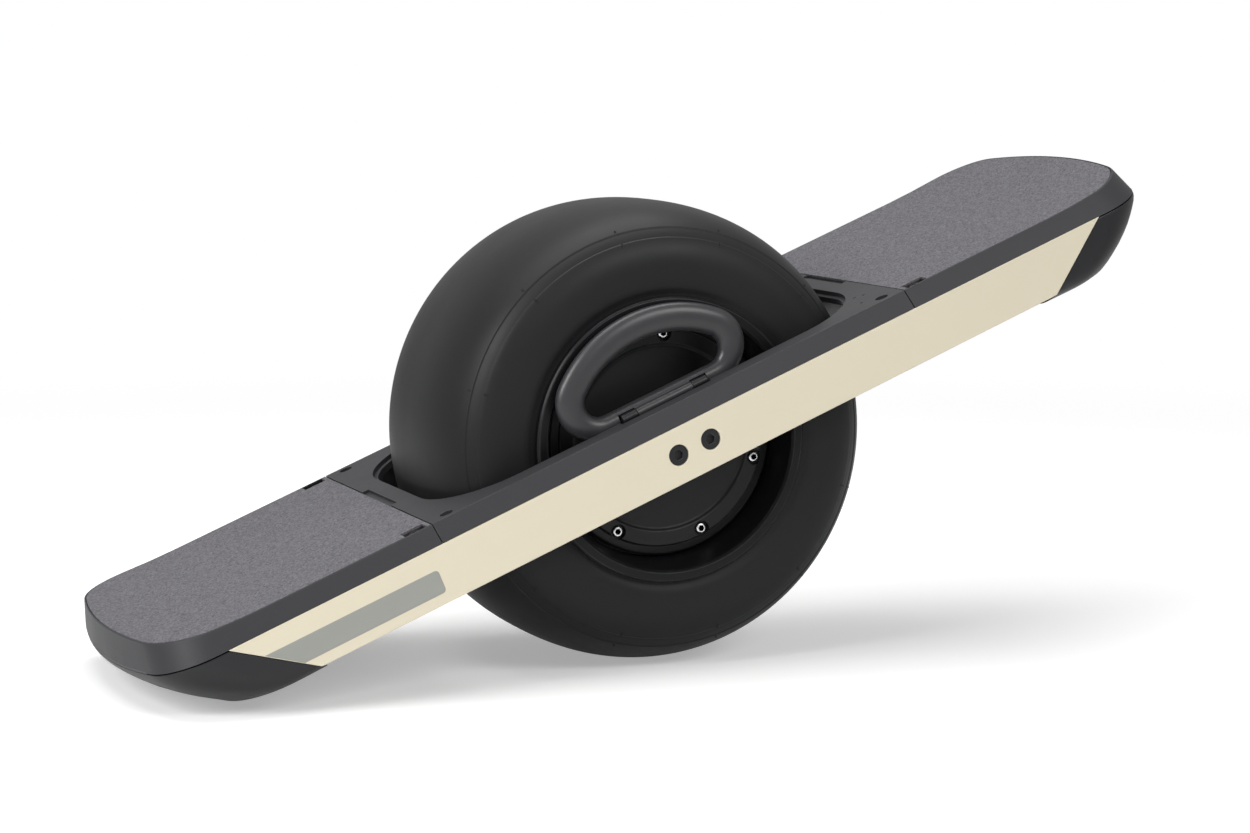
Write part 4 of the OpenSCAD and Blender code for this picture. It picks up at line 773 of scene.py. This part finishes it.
# %% Hub covers
COVER_Y, SCREW_CIRCLE, COVER_SEAT = 61.5, 61.6, 53.0
COVER_SECTION = [
    (13, 59.9), (SCREW_CIRCLE - 9.5, 59.4), (SCREW_CIRCLE - 7, 60), (SCREW_CIRCLE - 5.4, COVER_Y),
    (SCREW_CIRCLE + 2.8, COVER_Y), (SCREW_CIRCLE + 3.8, 60.1), (69.4, 59.3), (71, 57.7), (71, COVER_SEAT + 0.05),
    (57.2, COVER_SEAT + 0.05), (57.2, 50), (35.5, 50), (27.5, 40), (23.55, 40), (23.55, 55), (13, 55),
]
DRILL = [(0, 1), (5.7, 1), (4.7, 0), (4.6, -3), (2.2, -3), (2.2, -13), (0, -13)]
SCREW_TURNS = [Matrix.Rotation(math.radians(36.5 - i * 360 / 7), 4, "Y") for i in range(7)]


def add(mesh, other, *moves):
    """Moves a copy of another bmesh by the matrices given, first one first, into a mesh."""
    data = bpy.data.meshes.new("shared_part")
    other.to_mesh(data)
    before = len(mesh.verts)
    mesh.from_mesh(data)
    bpy.data.meshes.remove(data)
    mesh.verts.ensure_lookup_table()
    for move in moves:
        bmesh.ops.transform(mesh, matrix=move, verts=mesh.verts[before:])


def at_screws(one, along):
    """Seven copies of a bmesh, one at each of the cover's screws."""
    seven = bmesh.new()
    for turn in SCREW_TURNS:
        add(seven, one, Matrix.Translation((SCREW_CIRCLE, along, 0)), turn)
    one.free()
    return seven


def hub_cover():
    """The far side's cover; the near one is its mirror."""
    cover = lathe(COVER_SECTION, 144)
    soften(cover, 0.45, 20, 3)
    return carve(cover, at_screws(lathe(DRILL, 28, closed=False), COVER_Y))


mirrored_pair(hub_cover, "turned_hub_cover", "hub_cover", "wheel", BOTH_SIDES, angle=28)

# %% [markdown]
# ## Hub cover screws
# Seven button-head screws hold each cover. A head is a low dome with a hexagonal socket: the socket's six-sided
# loop is bridged to a round one, which is then pulled down and out in steps.

# %% Cover screws
HEAD_SUNK, SOCKET_DEPTH = 0.6, 0.62
DOME = [(0.66, 0), (0.82, 0.10), (0.95, 0.32), (1, 0.6), (1, 1)]


def dome_screw(head, height, socket, shank, length):
    """A screw along Y with the top of its head at zero."""
    def loop(radius, along, corners):
        turns = [math.tau * i / corners for i in range(corners)]
        return [(radius * math.cos(a), along, radius * math.sin(a)) for a in turns]

    mesh = bmesh.new()
    loops = [loop(socket, -height * SOCKET_DEPTH, 6), loop(socket, 0, 6)]
    loops += [loop(head * out, -height * down, 24) for out, down in DOME]
    loops += [loop(shank, -height, 24), loop(shank, -length, 24)]
    rings = [ring(mesh, points) for points in loops]
    bmesh.ops.contextual_create(mesh, geom=rings[0])
    bridged(mesh, rings)
    bmesh.ops.contextual_create(mesh, geom=rings[-1])
    bmesh.ops.recalc_face_normals(mesh, faces=mesh.faces)
    # faces inside the socket take the second material, which paints the socket's shade
    for face in mesh.faces:
        inside = all(max(abs(v.co.x), abs(v.co.z)) <= socket + 0.01 for v in face.verts)
        face.material_index = int(inside and face.calc_center_median().y > -height)
    return mesh


def screw_set():
    """Seven screws, seated in the far side's counterbores."""
    one = dome_screw(head=3.45, height=2.4, socket=1.95, shank=1.65, length=15.4)
    return at_screws(one, COVER_Y - HEAD_SUNK)


mirrored_pair(screw_set, "screws", "cover_screws", "wheel", BOTH_SIDES, extra=[painted_socket_shade])

# %% [markdown]
# ## Carry handle
# The grip is a D whose section is nearly an oval, with a hinge barrel along its flat side. The D's outline is
# drawn again and again while it shrinks from the outer edge to the finger opening, each time at the depth that
# the oval has there, and the loops are bridged into a ring. Two round notches leave room for the outer knuckles.

# %% Handle outline
GRIP_R, GRIP_X, GRIP_Z, BREADTH, BAR = 82.0, 62.0, 22.0, 17.0, 12.0
ROUND_STEPS, ARCH_STEPS = 18, 40


def d_outline(radius, half, bottom, across):
    """D-shaped loop: a flat bottom, two round ends and an arch about the axle."""
    lead = bottom - half + radius
    end = math.sqrt(lead * lead + radius * radius - half * half - bottom * bottom) - lead
    x, z = half - end, bottom + end
    slope = math.degrees(math.atan2(z, x))
    turns = [math.radians(-90 + (90 + slope) * i / ROUND_STEPS) for i in range(ROUND_STEPS + 1)]
    arch = [math.radians(slope + (180 - 2 * slope) * i / ARCH_STEPS) for i in range(1, ARCH_STEPS)]
    right = [(x + end * math.cos(a), across, z + end * math.sin(a)) for a in turns]
    top = [(radius * math.cos(a), across, radius * math.sin(a)) for a in arch]
    return right + top + [(-px, py, pz) for px, py, pz in reversed(right)]


print("grip outline has", len(d_outline(GRIP_R, GRIP_X, GRIP_Z, 0)), "points")

# %% Handle
HINGE_Y, HINGE_Z, GRIP_Y, GRIP_T = -90.3, 28.0, -85.2, 11.0
SECTION_STEPS, OVALNESS = 32, 0.95
KNUCKLE_X, NOTCH_R, NOTCH_L, BARREL_R, BARREL_L = 24.2, 3.6, 11, 3.2, 37.2
NECK_SIZE, NECK_PLACE = (BARREL_L, 2.3, 4.8), (0, HINGE_Y + 1.1, HINGE_Z + 0.8)


def grip_loop(step):
    """The D's outline at one step round the grip's section."""
    c, s = math.cos(math.tau * step / SECTION_STEPS), math.sin(math.tau * step / SECTION_STEPS)
    inset = BREADTH / 2 - math.copysign(BREADTH / 2 * abs(c) ** OVALNESS, c)
    depth = math.copysign(GRIP_T / 2 * abs(s) ** OVALNESS, s)
    return d_outline(GRIP_R - inset, GRIP_X - inset, GRIP_Z + inset * BAR / BREADTH, GRIP_Y + depth)


def on_hinge(x):
    """Lays a rod on the hinge's line."""
    return Matrix.Translation((x, HINGE_Y, HINGE_Z)) @ Matrix.Rotation(math.pi / 2, 4, "Y")


handle, notches, barrel = bmesh.new(), bmesh.new(), bmesh.new()
chained(handle, [grip_loop(step) for step in range(SECTION_STEPS)], closed=True)
for x in (-KNUCKLE_X, KNUCKLE_X):
    rod(notches, NOTCH_R, NOTCH_L, 40, on_hinge(x))
handle = carve(handle, notches)
rod(barrel, BARREL_R, BARREL_L, 40, on_hinge(0))
soften(barrel, 0.35, 60)
add(handle, barrel)
barrel.free()
block(handle, NECK_SIZE, Matrix.Translation(NECK_PLACE))
piece("moulded_carry_handle", handle, "handle", "handle_dark", ["carry_handle"], angle=35)

# %% [markdown]
# ## Label stripe
# A plain grey stripe is printed on the near guard, from its slanted tail end forward. It is a film a tenth of a
# millimetre thick, with rounded corners at its front end.

# %% Label stripe
CORNER, FRONT_X, HIGH_Z, LOW_Z, FILM = 2.4, -170.4, 1.2, -7.8, 0.1
HIGH_TAIL, LOW_TAIL = (-276.2, 3.6), (-257.5, -10.2)
stripe_colour = finish("grey_print", (0.335, 0.341, 0.313), 0.5, grain=1500, relief=0.05, tone=0.02, rub=0)
arc = [(CORNER * math.sin(a), CORNER * math.cos(a)) for a in (math.radians(d) for d in range(0, 91, 15))]
edge = [HIGH_TAIL] + [(FRONT_X + s, HIGH_Z + c) for s, c in arc] + [(FRONT_X + c, LOW_Z - s) for s, c in arc]
edge.append(LOW_TAIL)
stripe = bmesh.new()
film = bmesh.ops.contextual_create(stripe, geom=ring(stripe, [(x, -HALF_W, z) for x, z in edge]))["faces"]
lifted = bmesh.ops.extrude_face_region(stripe, geom=film)["geom"]
bmesh.ops.translate(stripe, vec=(0, -FILM, 0), verts=[v for v in lifted if isinstance(v, bmesh.types.BMVert)])
bmesh.ops.recalc_face_normals(stripe, faces=stripe.faces)
stripe_piece = piece("guard_stripe", stripe, "board", "guard_cream")
stripe_piece.data.materials[0] = stripe_colour
